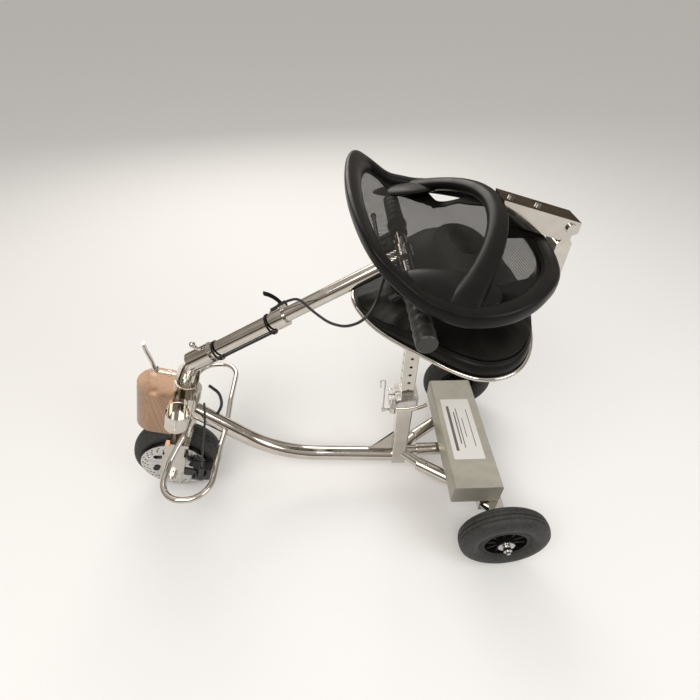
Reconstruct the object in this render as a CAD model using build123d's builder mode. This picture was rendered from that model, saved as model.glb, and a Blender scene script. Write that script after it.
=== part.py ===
"""Folding three-wheeled electric travel scooter, in its stored pose.

Frame: +X forward, +Y to the rider's left, +Z up, millimetres. The origin is on the ground,
in the middle plane, halfway along the machine.
"""
import os
from math import cos, radians, sin, tan

from build123d import *

os.makedirs("parts", exist_ok=True)

# ---------------------------------------------------------------- driving dimensions
wheelbase = 771.0
track = 485.4
rear_radius = 100.0
rear_tyre_width = 50.0
front_radius = 106.0
front_tyre_width = 60.0
head_lean = 17.0            # steering axis, degrees back from upright
fork_rake = 11.2            # front axle ahead of the steering axis
fork_drop = 122.6           # front axle below the fork crown's top
spine_radius = 19.0
tube_wall = 2.0
post_setback = 205.0        # seat post ahead of the rear axle
post_size = 30.0            # square seat post
socket_wall = 2.7
socket_top = 300.0
seat_height = 580.0         # the seat's metal trim above the ground
tiller_slope = 30.0         # tiller above level, leaning back over the seat
tiller_radius = 17.0
upper_radius = 14.3
tiller_reach = 470.0        # socket to handlebar, along the tiller
bar_radius = 11.0
bar_half = 236.0
case_width = 112.5
case_height = 58.0
case_half = 167.0
cup_radius = 25.0
cup_depth = 45.0
hinge_half = 25.0           # half the width of the backrest's hinge channel

# ---------------------------------------------------------------- clearances
running = 0.05              # shaft in hole, radial
slide_gap = 0.3             # square post in its socket, each side
soft_gap = 0.3              # soft pieces beside hard ones

# ---------------------------------------------------------------- stations
rear_x = -(wheelbase + front_radius - rear_radius) / 2
front_x = rear_x + wheelbase
post_x = rear_x + post_setback
wheel_y = track / 2
axle_z = rear_radius
lean = radians(head_lean)
slope = radians(tiller_slope)
lean_forward = Vector(cos(lean), 0, sin(lean))
lean_up = Vector(-sin(lean), 0, cos(lean))
front_axle = Vector(front_x, 0, front_radius)
steer_origin = front_axle - lean_forward * fork_rake + lean_up * fork_drop
steer = Plane(origin=steer_origin, x_dir=lean_forward, z_dir=lean_up)
side_left = Vector(0, 1, 0)


def in_steer(forward, left, up):
    """Point given along the steering axis' own directions."""
    return steer_origin + lean_forward * forward + side_left * left + lean_up * up


def rod(start, end, radius, mode=Mode.ADD):
    """Round bar between two points."""
    span = Vector(end) - Vector(start)
    with BuildSketch(Plane(origin=start, z_dir=span.normalized()), mode=Mode.PRIVATE) as section:
        Circle(radius)
    extrude(section.sketch, amount=span.length, mode=mode)


def block(low, high, mode=Mode.ADD, plane=Plane.XY, corner=0.0):
    """Box from its low corner to its high corner, measured in a plane's own directions."""
    size = [b - a for a, b in zip(low, high)]
    middle = [(a + b) / 2 for a, b in zip(low, high)]
    with BuildSketch(plane.offset(low[2]), mode=Mode.PRIVATE) as section:
        with Locations((middle[0], middle[1])):
            if corner:
                RectangleRounded(size[0], size[1], corner)
            else:
                Rectangle(size[0], size[1])
    extrude(section.sketch, amount=size[2], mode=mode)


def cross_plane(centre):
    """Plane through a centre on a sideways axle: its own x runs left, its own y runs up."""
    return Plane(origin=centre, x_dir=(0, 1, 0), z_dir=(1, 0, 0))


def ring_about(centre, inner, outer, y_low, y_high, mode=Mode.ADD):
    """Ring on a sideways axis through a centre, from one side distance to another."""
    with BuildSketch(cross_plane(centre), mode=Mode.PRIVATE) as section:
        with Locations(((y_low + y_high) / 2, (inner + outer) / 2)):
            Rectangle(y_high - y_low, outer - inner)
    revolve(section.sketch, axis=Axis(centre, (0, 1, 0)), mode=mode)


def tyre_about(centre, bead, radius, width, grooves):
    """Tyre with rounded shoulders and ring grooves in its tread."""
    half = width / 2
    with BuildSketch(cross_plane(centre), mode=Mode.PRIVATE) as section:
        with BuildLine():
            inner_left = (-0.68 * half, bead)
            shoulder_left = (-0.62 * half, radius - 0.13 * half)
            crown = (0, radius)
            shoulder_right = (0.62 * half, radius - 0.13 * half)
            inner_right = (0.68 * half, bead)
            ThreePointArc(inner_left, (-half, (bead + radius) / 2), shoulder_left)
            ThreePointArc(shoulder_left, crown, shoulder_right)
            ThreePointArc(shoulder_right, (half, (bead + radius) / 2), inner_right)
            Line(inner_right, inner_left)
        make_face()
        with Locations(*[(g, radius) for g in grooves]):
            Rectangle(2.0, 4.0, mode=Mode.SUBTRACT)
    revolve(section.sketch, axis=Axis(centre, (0, 1, 0)))


def save(builder, name):
    """Label a finished piece and write it."""
    builder.part.label = name
    export_step(builder.part, f"parts/{name}.step")
    print(name, len(builder.part.solids()), round(builder.part.volume), flush=True)


# ---------------------------------------------------------------- rear wheels
rim_radius = 57.0
rim_half = 18.0
hub_half = 22.0
bearing_radius = 16.0
bearing_width = 9.0
pin_radius = 6.0
pin_head_end = 39.5
spoke_count = 10
tyre_side_gap = wheel_y - rear_tyre_width / 2

for side_name, side in (("left", 1), ("right", -1)):
    centre = Vector(rear_x, side * wheel_y, axle_z)

    with BuildPart() as rear_tyre:
        tyre_about(centre, rim_radius, rear_radius, rear_tyre_width, (-9, 0, 9))
    save(rear_tyre, f"{side_name}_rear_tyre")

    with BuildPart() as rear_rim:
        ring_about(centre, 46, rim_radius, -rim_half, rim_half)
        ring_about(centre, 13, 20, -hub_half, hub_half)
        ring_about(centre, 19, 47, -2, 2)
        with BuildSketch(Plane(origin=centre, x_dir=(1, 0, 0), z_dir=(0, 1, 0)).offset(-14)):
            with PolarLocations(33, spoke_count):
                Rectangle(29, 3)
        extrude(amount=28)
        for end in (-1, 1):
            inner_face = end * (hub_half - bearing_width)
            outer_face = end * (hub_half + 1)
            ring_about(centre, 0.01, bearing_radius, min(inner_face, outer_face),
                       max(inner_face, outer_face), Mode.SUBTRACT)
    save(rear_rim, f"{side_name}_rear_rim")

    with BuildPart() as bearings:
        for end in (-1, 1):
            inner_face = end * (hub_half - bearing_width)
            outer_face = end * hub_half
            ring_about(centre, pin_radius + running, bearing_radius, min(inner_face, outer_face),
                       max(inner_face, outer_face))
            flange = sorted((outer_face, end * (hub_half + 1.6)))
            ring_about(centre, pin_radius + running, bearing_radius + 2, flange[0], flange[1])
    save(bearings, f"{side_name}_rear_bearings")

    with BuildPart() as axle_pin:
        inner_end = centre - side_left * side * 58
        head_start = centre + side_left * side * (hub_half + 4)
        rod(inner_end, head_start, pin_radius)
        rod(head_start, head_start + side_left * side * 8, 9.0)
        rod(head_start + side_left * side * 8, centre + side_left * side * pin_head_end, 4.5)
    fillet(axle_pin.part.edges().filter_by(GeomType.CIRCLE).sort_by(Axis.Y)[-1 if side > 0 else 0], 1.2)
    save(axle_pin, f"{side_name}_axle_pin")

# ---------------------------------------------------------------- main frame
head_bottom = 0.5
head_top = 95.0
head_radius = 22.0
steerer_radius = 15.0
socket_half = post_size / 2 + slide_gap + socket_wall
socket_inner = post_size / 2 + slide_gap
socket_bottom = 58.0
spine_low_z = 74.0
spine_corner = Vector(rear_x + 519, 0, 93)
spine_top = in_steer(0, 0, 62)
spine_end = Vector(post_x, 0, spine_low_z)
pin_z = 255.0
lock_radius = 4.0

with BuildPart() as main_frame:
    with BuildLine() as spine_line:
        FilletPolyline(spine_end, spine_corner, spine_top, radius=270)
    with BuildSketch(Plane(origin=spine_end, z_dir=spine_line.line % 0)):
        Circle(spine_radius)
    sweep(path=spine_line.line)
    rod(in_steer(0, 0, head_bottom), in_steer(0, 0, head_top), head_radius)
    block((post_x - socket_half, -socket_half, socket_bottom),
          (post_x + socket_half, socket_half, socket_top), corner=4)
    with BuildSketch(Plane.XZ.offset(-2.5)):
        with BuildLine():
            Polyline((post_x + 10, 84), (post_x + 92, 84), (post_x + 10, 176), (post_x + 10, 84))
        make_face()
    extrude(amount=5)
    rod(in_steer(0, 0, head_bottom - 1), in_steer(0, 0, head_top + 1), steerer_radius + 4.2, Mode.SUBTRACT)
    block((post_x - socket_inner, -socket_inner, socket_bottom - 1),
          (post_x + socket_inner, socket_inner, socket_top + 1), Mode.SUBTRACT, corner=1.5)
    rod((post_x - 40, 0, pin_z), (post_x + 40, 0, pin_z), lock_radius + running, Mode.SUBTRACT)
    stub_start = Vector(post_x, 0, 92)
    for side in (-1, 1):
        stub_end = Vector(rear_x + 140, side * 58, 92)
        rod(stub_start, stub_end, 12)
    rod(stub_start, Vector(rear_x + 150, 0, 92), 12)
    block((post_x - socket_inner, -socket_inner, socket_bottom - 1),
          (post_x + socket_inner, socket_inner, socket_top + 1), Mode.SUBTRACT, corner=1.5)
save(main_frame, "main_frame")

with BuildPart() as headset:
    for low, high in ((head_bottom, head_bottom + 9), (head_top - 9, head_top)):
        with BuildSketch(steer.offset(low)):
            Circle(steerer_radius + 4.2)
            Circle(steerer_radius + running, mode=Mode.SUBTRACT)
        extrude(amount=high - low)
save(headset, "headset_bearings")

# ---------------------------------------------------------------- rear carrier
beam_x = rear_x + 22.0
beam_half_x = 14.0
beam_top = 113.0
beam_bottom = 86.0
sleeve_radius = 16.0
rail_top = beam_top + 5.0
end_block_out = wheel_y - 33.0

with BuildPart() as rear_carrier:
    block((beam_x - beam_half_x, -170, beam_bottom), (beam_x + beam_half_x, 170, beam_top), corner=0)
    for side in (-1, 1):
        sleeve_front = Vector(rear_x + 160, side * 43.5, 92)
        sleeve_back = Vector(beam_x, side * 137, 97)
        rod(sleeve_front, sleeve_back, sleeve_radius)
        inner, outer = sorted((side * 150, side * end_block_out))
        block((rear_x - 15, inner, 83), (rear_x + 17, outer, 117), corner=0)
        rod((beam_x + 8, side * 158, 100), (rear_x + 6, side * 178, 100), 12)
    rod((rear_x + 158, 0, 92), (beam_x, 0, 96), sleeve_radius)
    for rail_x in (rear_x + 12, rear_x + 84):
        block((rail_x, -150, 104), (rail_x + 14, 150, rail_top))
    for side in (-1, 1):
        rod(Vector(rear_x, side * (end_block_out + 2), axle_z), Vector(rear_x, side * 180, axle_z),
            pin_radius + running, Mode.SUBTRACT)
        sleeve_hole = Vector(rear_x + 142, side * 55.5, 92)
        rod(sleeve_hole, sleeve_hole + Vector(0, 0, 30), 3.5, Mode.SUBTRACT)
    add(main_frame.part, mode=Mode.SUBTRACT)
save(rear_carrier, "rear_carrier")

# ---------------------------------------------------------------- battery box
case_x = rear_x + 49.4
case_low = rail_top
case_top = case_low + case_height
case_wall = 2.0
cap_depth = 3.0
case_plane = Plane(origin=(case_x, 0, case_low + case_height / 2), x_dir=(1, 0, 0), z_dir=(0, -1, 0))

with BuildPart() as battery_case:
    with BuildSketch(case_plane.offset(-(case_half - cap_depth))):
        Rectangle(case_width, case_height)
        chamfer(vertices(), 4)
    extrude(amount=2 * (case_half - cap_depth))
    with BuildSketch(case_plane.offset(-(case_half - cap_depth + 1)), mode=Mode.PRIVATE) as hollow:
        Rectangle(case_width - 2 * case_wall, case_height - 2 * case_wall)
        chamfer(hollow.vertices(), 3)
    extrude(hollow.sketch, amount=2 * (case_half - cap_depth + 1), mode=Mode.SUBTRACT)
    for start in (-case_half, case_half - cap_depth):
        with BuildSketch(case_plane.offset(start)):
            Rectangle(case_width, case_height)
            chamfer(vertices(), 4)
        extrude(amount=cap_depth)
save(battery_case, "battery_case")

with BuildPart() as battery_pack:
    block((case_x - 48, -150, case_low + case_wall), (case_x + 48, 150, case_top - case_wall - 3), corner=3)
save(battery_pack, "battery_pack")

with BuildPart() as battery_label:
    block((case_x - 34, -96, case_top), (case_x + 40, 92, case_top + 0.8), corner=2)
save(battery_label, "battery_label")

# ---------------------------------------------------------------- footrests
foot_radius = 6.5
foot_z = 220.0
foot_back = rear_x + 632
foot_front = rear_x + 736
foot_end = 203.0
foot_inner = in_steer(-10, 0, 42)

with BuildPart() as footrests:
    foot_points = [
        Vector(foot_back, 0, 207),
        Vector(foot_back, 70, foot_z),
        Vector(foot_back, foot_end, foot_z),
        Vector(foot_front, foot_end, foot_z),
        Vector(foot_front, 112, foot_z + 1),
        Vector(foot_front - 22, 58, 242),
        foot_inner,
    ]
    with BuildLine() as foot_line:
        FilletPolyline(*foot_points, radius=[30, 49, 49, 30, 22])
    with BuildSketch(Plane(origin=foot_points[0], z_dir=foot_line.line % 0)):
        Circle(foot_radius)
    sweep(path=foot_line.line)
    mirror(about=Plane.XZ)
    add(main_frame.part, mode=Mode.SUBTRACT)
    rod(in_steer(0, 0, head_bottom - 5), in_steer(0, 0, head_top + 5), head_radius, Mode.SUBTRACT)
    rod(Vector(foot_back - 12, 0, 194), spine_top, spine_radius - 3, Mode.SUBTRACT)
save(footrests, "footrests")

# ---------------------------------------------------------------- seat post clamp and lock pin
with BuildPart() as post_collar:
    block((post_x - 26, -26, 278), (post_x + 26, 26, socket_top + 14), corner=6)
    block((post_x + 20, -16, 284), (post_x + 40, 16, 306), corner=3)
    block((post_x - socket_half - running, -socket_half - running, 270),
          (post_x + socket_half + running, socket_half + running, socket_top), Mode.SUBTRACT, corner=4)
    block((post_x - socket_inner, -socket_inner, 270),
          (post_x + socket_inner, socket_inner, 330), Mode.SUBTRACT, corner=1.5)
    block((post_x + 16, -1.2, 270), (post_x + 45, 1.2, 330), Mode.SUBTRACT)
    rod((post_x + 33, 16.5, 295), (post_x + 33, -30, 295), 3.2, Mode.SUBTRACT)
    rod((post_x + 33, 27.7, 295), (post_x + 33, -24, 295), 3.0)
    rod((post_x + 33, -16, 295), (post_x + 33, -24, 295), 6.5)
save(post_collar, "seat_post_collar")

with BuildPart() as clamp_lever:
    rod((post_x + 33, 35, 287), (post_x + 33, 35, 303), 7)
    with BuildLine() as blade_line:
        Spline((post_x + 31, 37, 296), (post_x + 5, 41, 299), (post_x - 42, 36, 310))
    with BuildSketch(Plane(origin=blade_line.line @ 0, z_dir=blade_line.line % 0)):
        Ellipse(3, 6.5)
    sweep(path=blade_line.line)
save(clamp_lever, "seat_clamp_lever")

with BuildPart() as lock_pin:
    rod((post_x - 26, 0, pin_z), (post_x + 52, 0, pin_z), lock_radius)
    rod((post_x + 46, 0, pin_z), (post_x + 54, 0, pin_z), 6)
    rod((post_x + 50, 0, pin_z), (post_x + 50, 0, 346), 1.7)
    with BuildLine() as hook_line:
        ThreePointArc((post_x + 50, 0, 346), (post_x + 55, 0, 353), (post_x + 60, 0, 346))
        Line((post_x + 60, 0, 346), (post_x + 60, 0, 330))
    with BuildSketch(Plane(origin=(post_x + 50, 0, 346), z_dir=(0, 0, 1))):
        Circle(1.7)
    sweep(path=hook_line.line)
save(lock_pin, "seat_lock_pin")

# ---------------------------------------------------------------- fork
leg_inner = 46.0
leg_outer = 66.0
crown_top = -0.5
crown_low = -9.5
leg_low = -48.0
axle_hole = pin_radius + running

with BuildPart() as fork:
    block((-20, -leg_outer, crown_low), (22, leg_outer, crown_top), plane=steer, corner=3)
    block((18, -15, -8), (80, 15, -1), plane=steer)
    block((45, -15, -2), (75, 15, 3), plane=steer)
    rod(in_steer(0, 0, -2), in_steer(0, 0, 128), steerer_radius)
    for side in (-1, 1):
        low, high = sorted((side * leg_inner, side * leg_outer))
        block((-12, low, leg_low), (33, high, crown_low + 1), plane=steer, corner=2)
        low, high = sorted((side * (leg_outer - 8), side * leg_outer))
        block((-15, low, leg_low - 62), (37, high, leg_low + 3), plane=steer)
        block((-11, low, -152), (33, high, leg_low - 60), plane=steer)
    rod(in_steer(fork_rake, -80, -fork_drop), in_steer(fork_rake, 80, -fork_drop), axle_hole, Mode.SUBTRACT)
save(fork, "fork")

with BuildPart() as front_axle_rod:
    rod(in_steer(fork_rake, -82, -fork_drop), in_steer(fork_rake, 82, -fork_drop), pin_radius)
    for side in (-1, 1):
        for near, far, size in ((leg_outer, leg_outer + 2, 12.5), (leg_outer + 2, leg_outer + 11, 0)):
            start = in_steer(fork_rake, side * near, -fork_drop)
            with BuildSketch(Plane(origin=start, x_dir=lean_forward, z_dir=side_left * side)):
                if size:
                    Circle(size)
                else:
                    RegularPolygon(10.5, 6)
                Circle(axle_hole, mode=Mode.SUBTRACT)
            extrude(amount=far - near)
    ring_about(front_axle, axle_hole, 11, 37, leg_outer - 8)
    ring_about(front_axle, axle_hole, 11, -(leg_outer - 8), -32)
save(front_axle_rod, "front_axle")

with BuildPart() as stator:
    ring_about(front_axle, axle_hole, 56, -15, 15)
save(stator, "motor_stator")

# ---------------------------------------------------------------- front wheel
hub_radius = 70.0
hub_side = 26.0
rotor_radius = 80.0
rotor_low = 40.0
rotor_high = 42.0

with BuildPart() as front_tyre:
    tyre_about(front_axle, hub_radius + 2, front_radius, front_tyre_width, (-16, -8, 0, 8, 16))
save(front_tyre, "front_tyre")

with BuildPart() as hub_shell:
    ring_about(front_axle, 64, hub_radius + 2, -hub_side, hub_side)
    ring_about(front_axle, axle_hole, 65, -hub_side, -hub_side + 4)
    ring_about(front_axle, axle_hole, 24, -hub_side - 4, -hub_side)
save(hub_shell, "hub_motor_shell")

with BuildPart() as hub_cover:
    ring_about(front_axle, axle_hole, 64 - running, hub_side - 4, hub_side)
    ring_about(front_axle, 12, 26, hub_side, rotor_low)
    with BuildSketch(Plane(origin=front_axle + side_left * hub_side, x_dir=(1, 0, 0), z_dir=side_left)):
        with PolarLocations(57, 6, start_angle=15):
            RegularPolygon(4.2, 6)
    extrude(amount=3)
save(hub_cover, "hub_motor_cover")

with BuildPart() as rotor:
    with BuildSketch(Plane(origin=front_axle + side_left * rotor_low, x_dir=(1, 0, 0), z_dir=side_left)):
        Circle(rotor_radius)
        Circle(13, mode=Mode.SUBTRACT)
        with PolarLocations(46, 6, start_angle=8):
            SlotCenterToCenter(13, 15, rotation=50, mode=Mode.SUBTRACT)
        for ring_radius, turn in ((75, 0), (70, 5), (65, 10)):
            with PolarLocations(ring_radius, 24, start_angle=turn):
                Circle(2.1, mode=Mode.SUBTRACT)
    extrude(amount=rotor_high - rotor_low)
save(rotor, "disc_rotor")

with BuildPart() as rotor_bolts:
    with BuildSketch(Plane(origin=front_axle + side_left * rotor_high, x_dir=(1, 0, 0), z_dir=side_left)):
        with PolarLocations(20, 6):
            Circle(3.4)
            RegularPolygon(1.8, 6, mode=Mode.SUBTRACT)
    extrude(amount=2.6)
save(rotor_bolts, "rotor_bolts")

# ---------------------------------------------------------------- front brake
slot_low = rotor_low - 1.5
slot_high = rotor_high + 1.5

with BuildPart() as caliper:
    block((-79, 31.5, -132), (-34, 64, -88), plane=steer, corner=5)
    block((-36, 58.3, -120), (-15, 64, -96), plane=steer)
    rod(in_steer(-56, 60, -110), in_steer(-56, 70, -110), 13)
    rod(in_steer(-40, 60, -126), in_steer(-40, 68.5, -126), 5)
    rod(in_steer(-40, 60, -96), in_steer(-40, 68.5, -96), 5)
    with BuildSketch(Plane(origin=front_axle + side_left * slot_low, z_dir=side_left), mode=Mode.PRIVATE) as slot:
        Circle(rotor_radius + 2)
    extrude(slot.sketch, amount=slot_high - slot_low, mode=Mode.SUBTRACT)
    ring_about(front_axle, 20, front_radius + 2, 20, 31.5, Mode.SUBTRACT)
    rod(in_steer(-56, 50, -110), in_steer(-56, 75, -110), 4 + running, Mode.SUBTRACT)
save(caliper, "brake_caliper")

with BuildPart() as caliper_arm:
    rod(in_steer(-56, 62, -110), in_steer(-56, 76, -110), 4)
    rod(in_steer(-56, 70.3, -110), in_steer(-56, 75, -110), 10)
    block((-62, 70.3, -110), (-50, 75, -66), plane=steer, corner=0)
    rod(in_steer(-56, 68.5, -68), in_steer(-56, 78, -68), 4.5)
save(caliper_arm, "caliper_arm")

# ---------------------------------------------------------------- can, cup and fold joint on the fork
can_back = 27.0
can_half = 42.0
can_low = 3.0
can_top = 128.0
can_wall = 1.2
can_middle = can_back + can_half


def can_outline(inset):
    """D-shaped outline: square at the back, round at the front."""
    with BuildSketch(Plane.XY, mode=Mode.PRIVATE) as outline:
        with Locations(((can_back + can_middle) / 2, 0)):
            Rectangle(can_middle - can_back - 2 * inset, 2 * (can_half - inset))
        with Locations((can_middle - inset, 0)):
            Circle(can_half - inset)
    return outline.sketch


with BuildPart() as can:
    with BuildSketch(steer.offset(can_low)):
        add(can_outline(0))
    extrude(amount=can_top - can_low)
    with BuildSketch(steer.offset(can_low + can_wall), mode=Mode.PRIVATE) as can_hollow:
        add(can_outline(can_wall))
    extrude(can_hollow.sketch, amount=can_top - can_low - 2 * can_wall, mode=Mode.SUBTRACT)
save(can, "controller_can")

cup_forward = 11.0
cup_left = can_half + 3 + cup_radius
cup_top = can_top - 2
cup_low = cup_top - cup_depth
cup_wall = 1.2

with BuildPart() as cup:
    rod(in_steer(cup_forward, cup_left, cup_low), in_steer(cup_forward, cup_left, cup_top), cup_radius)
    block((can_back + 0.5, can_half, cup_low + 14), (can_back + 8, can_half + 13, cup_low + 30), plane=steer)
    rod(in_steer(cup_forward, cup_left, cup_low + 2), in_steer(cup_forward, cup_left, cup_top + 1),
        cup_radius - cup_wall, Mode.SUBTRACT)
save(cup, "accessory_cup")

pivot_forward = 8.0
pivot_up = 165.0
pivot = in_steer(pivot_forward, 0, pivot_up)
barrel_radius = 15.0
barrel_half = 18.7
cheek_half = 26.0

with BuildPart() as yoke:
    rod(in_steer(0, 0, head_top + 2), in_steer(0, 0, head_top + 32), 24)
    block((-13, -cheek_half, head_top + 20), (26, cheek_half, pivot_up), plane=steer)
    rod(pivot - side_left * cheek_half, pivot + side_left * cheek_half, barrel_radius)
    rod(pivot - side_left * (barrel_half + 0.3), pivot + side_left * (barrel_half + 0.3),
        barrel_radius + 34, Mode.SUBTRACT)
    rod(in_steer(0, 0, head_top + 2), in_steer(0, 0, head_top + 33), 24)
    rod(in_steer(0, 0, head_top), in_steer(0, 0, 129), steerer_radius + running, Mode.SUBTRACT)
    rod(pivot - side_left * 40, pivot + side_left * 40, pin_radius + running, Mode.SUBTRACT)
    block((pivot_forward + barrel_radius + 0.6, -cheek_half, 138), (31, cheek_half, 172), plane=steer)
    block((-20, -barrel_half, 128), (32, barrel_half, 138), plane=steer, mode=Mode.SUBTRACT)
    rod(in_steer(28, 0, 160), in_steer(68.4, 0, 160), 4)
    rod(in_steer(42, 0, 160), in_steer(50, 0, 160), 7)
save(yoke, "fold_yoke")

with BuildPart() as fold_pin:
    rod(pivot - side_left * (cheek_half + 5), pivot + side_left * (cheek_half + 5), pin_radius)
    for side in (-1, 1):
        start = pivot + side_left * side * cheek_half
        rod(start, start + side_left * side * 5, 10)
save(fold_pin, "fold_pin")

lever_pivot = in_steer(76, 0, 160)
with BuildPart() as fold_lever:
    rod(lever_pivot - side_left * 9, lever_pivot + side_left * 9, 7)
    with BuildLine() as lever_line:
        Spline(in_steer(78, 0, 162), in_steer(84, 0, 190), in_steer(98, 0, 224), in_steer(100, 0, 234))
    with BuildSketch(Plane(origin=lever_line.line @ 0, x_dir=(0, 1, 0), z_dir=lever_line.line % 0)):
        Ellipse(6.5, 3.4)
    sweep(path=lever_line.line)
save(fold_lever, "fold_lever")

# ---------------------------------------------------------------- tiller
along = Vector(-cos(slope), 0, sin(slope))
under = Vector(-sin(slope), 0, -cos(slope))
tiller_base = Vector(rear_x + 648, 0, 430)
tiller = Plane(origin=tiller_base, x_dir=(0, 1, 0), z_dir=along)
lower_length = 212.0
upper_insert = 150.0
collar_at = 205.0
collar_radius = 21.0
cable_rise = -(collar_radius + 1.2 + 0.3 + 2.5)


def in_tiller(left, down, up):
    """Point given sideways, below and along the tiller."""
    return tiller_base + side_left * left + under * down + along * up


with BuildPart() as lower_tiller:
    rod(in_tiller(0, 0, 0), in_tiller(0, 0, lower_length), tiller_radius)
    rod(in_tiller(0, 0, 3), in_tiller(0, 0, lower_length + 1), upper_radius + 0.3, Mode.SUBTRACT)
save(lower_tiller, "lower_tiller")

with BuildPart() as knuckle:
    rod(pivot - side_left * barrel_half, pivot + side_left * barrel_half, barrel_radius)
    rod(pivot, in_tiller(0, 0, -8), 13)
    rod(in_tiller(0, 0, -22), in_tiller(0, 0, 34), 22)
    rod(in_tiller(0, -18, 12), in_tiller(0, -34, 12), 4)
    with Locations(in_tiller(0, -36, 12)):
        Sphere(6.5)
    rod(in_tiller(0, 0, 0), in_tiller(0, 0, 40), tiller_radius + running, Mode.SUBTRACT)
    rod(pivot - side_left * 40, pivot + side_left * 40, pin_radius + running, Mode.SUBTRACT)
save(knuckle, "tiller_knuckle")

with BuildPart() as collar:
    rod(in_tiller(0, 0, collar_at - 12), in_tiller(0, 0, collar_at + 12), collar_radius)
    block((-4, -collar_radius - 1.2, collar_at - 9), (4, -collar_radius + 3, collar_at + 9), plane=tiller)
    block((-34, -9, collar_at - 9), (-12, 9, collar_at + 9), plane=tiller, corner=3)
    rod(in_tiller(0, 0, collar_at - 13), in_tiller(0, 0, lower_length), tiller_radius + running, Mode.SUBTRACT)
    rod(in_tiller(0, 0, collar_at - 13), in_tiller(0, 0, collar_at + 14), upper_radius + 0.3, Mode.SUBTRACT)
save(collar, "telescope_collar")

with BuildPart() as telescope_lever:
    rod(in_tiller(-41.5, 0, collar_at - 8), in_tiller(-41.5, 0, collar_at + 8), 7)
    with BuildLine() as quick_line:
        Spline(in_tiller(-42, -2, collar_at), in_tiller(-44, -20, collar_at - 4), in_tiller(-36, -44, collar_at - 12))
    with BuildSketch(Plane(origin=quick_line.line @ 0, z_dir=quick_line.line % 0)):
        Ellipse(3.2, 5.5)
    sweep(path=quick_line.line)
save(telescope_lever, "telescope_lever")

cable_radius = 2.5
cable_side = (tiller_radius + cable_radius + 0.3) * cos(radians(45))
with BuildPart() as tiller_cable:
    rod(in_tiller(cable_side, cable_side, 40), in_tiller(cable_side, cable_side, collar_at - 16), cable_radius)
save(tiller_cable, "tiller_cable")

with BuildPart() as ties:
    for tie_at in (46, 178):
        with BuildSketch(tiller.offset(tie_at)):
            with Locations((1.9, 1.9)):
                Circle(21.8)
                Circle(20.0, mode=Mode.SUBTRACT)
        extrude(amount=4)
save(ties, "cable_ties")

# ---------------------------------------------------------------- upper tiller and handlebar
with BuildPart() as upper_tiller:
    rod(in_tiller(0, 0, upper_insert), in_tiller(0, 0, tiller_reach - 15), upper_radius)
    rod(in_tiller(0, 0, upper_insert - 1), in_tiller(0, 0, tiller_reach - 20), upper_radius - tube_wall,
        Mode.SUBTRACT)
save(upper_tiller, "upper_tiller")

with BuildPart() as handlebar:
    rod(in_tiller(-bar_half, 0, tiller_reach), in_tiller(bar_half, 0, tiller_reach), bar_radius)
    rod(in_tiller(-20, 0, tiller_reach), in_tiller(20, 0, tiller_reach), 17)
    rod(in_tiller(0, 0, tiller_reach - 40), in_tiller(0, 0, tiller_reach - 8), 18)
    rod(in_tiller(0, 0, tiller_reach - 42), in_tiller(0, 0, tiller_reach - 15), upper_radius + running,
        Mode.SUBTRACT)
save(handlebar, "handlebar")

grip_start = 116.0
grip_end = 240.0
for side_name, side in (("left", 1), ("right", -1)):
    bar_middle = in_tiller(0, 0, tiller_reach)
    with BuildPart() as grip:
        with BuildSketch(Plane(origin=bar_middle, x_dir=side_left * side, z_dir=(side, 0, 0)), mode=Mode.PRIVATE) as half_grip:
            with BuildLine():
                ridge = (grip_end - 12 - grip_start) / 5
                tops = [(grip_start, 0), (grip_start, 19), (grip_start + 4, 19)]
                Polyline(*tops, (grip_start + 4, 14))
                for n in range(5):
                    low = (grip_start + 4 + n * (ridge - 0.8), 14)
                    high = (grip_start + 4 + (n + 1) * (ridge - 0.8), 14)
                    ThreePointArc(low, ((low[0] + high[0]) / 2, 16.5), high)
                last = grip_start + 4 + 5 * (ridge - 0.8)
                Polyline((last, 14), (last, 15.8), (grip_end - 2, 15.8), (grip_end, 13.5), (grip_end, 0), (grip_start, 0))
            make_face()
        revolve(half_grip.sketch, axis=Axis(bar_middle, (0, 1, 0)))
        rod(in_tiller(side * (grip_start - 1), 0, tiller_reach), in_tiller(side * bar_half, 0, tiller_reach),
            bar_radius + running, Mode.SUBTRACT)
    save(grip, f"{side_name}_grip")

with BuildPart() as console:
    block((-68, -13, tiller_reach - 46), (-28, 7, tiller_reach - 14), plane=tiller, corner=5)
    rod(in_tiller(-48, 0, tiller_reach - 16), in_tiller(-48, 0, tiller_reach - 11.3), 6)
    rod(in_tiller(-48, -13, tiller_reach - 30), in_tiller(-48, -17, tiller_reach - 30), 7)
save(console, "control_console")

lever_in = 90.0
with BuildPart() as perch:
    ring_about(in_tiller(0, 0, tiller_reach), bar_radius + running, 16, -lever_in - 6, -lever_in + 8)
    block((-lever_in - 6, -7, tiller_reach - 42), (-lever_in + 8, 7, tiller_reach - 14), plane=tiller)
    block((-lever_in - 8, -3.4, tiller_reach - 56), (-lever_in + 9, 3.4, tiller_reach - 28.5), plane=tiller,
          mode=Mode.SUBTRACT)
    rod(in_tiller(-lever_in + 1, -8, tiller_reach - 35), in_tiller(-lever_in + 1, 8, tiller_reach - 35),
        2.5 + running, Mode.SUBTRACT)
    rod(in_tiller(-lever_in + 7, 0, tiller_reach - 21), in_tiller(-lever_in + 19, 0, tiller_reach - 21), 3.6)
save(perch, "brake_perch")

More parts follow.
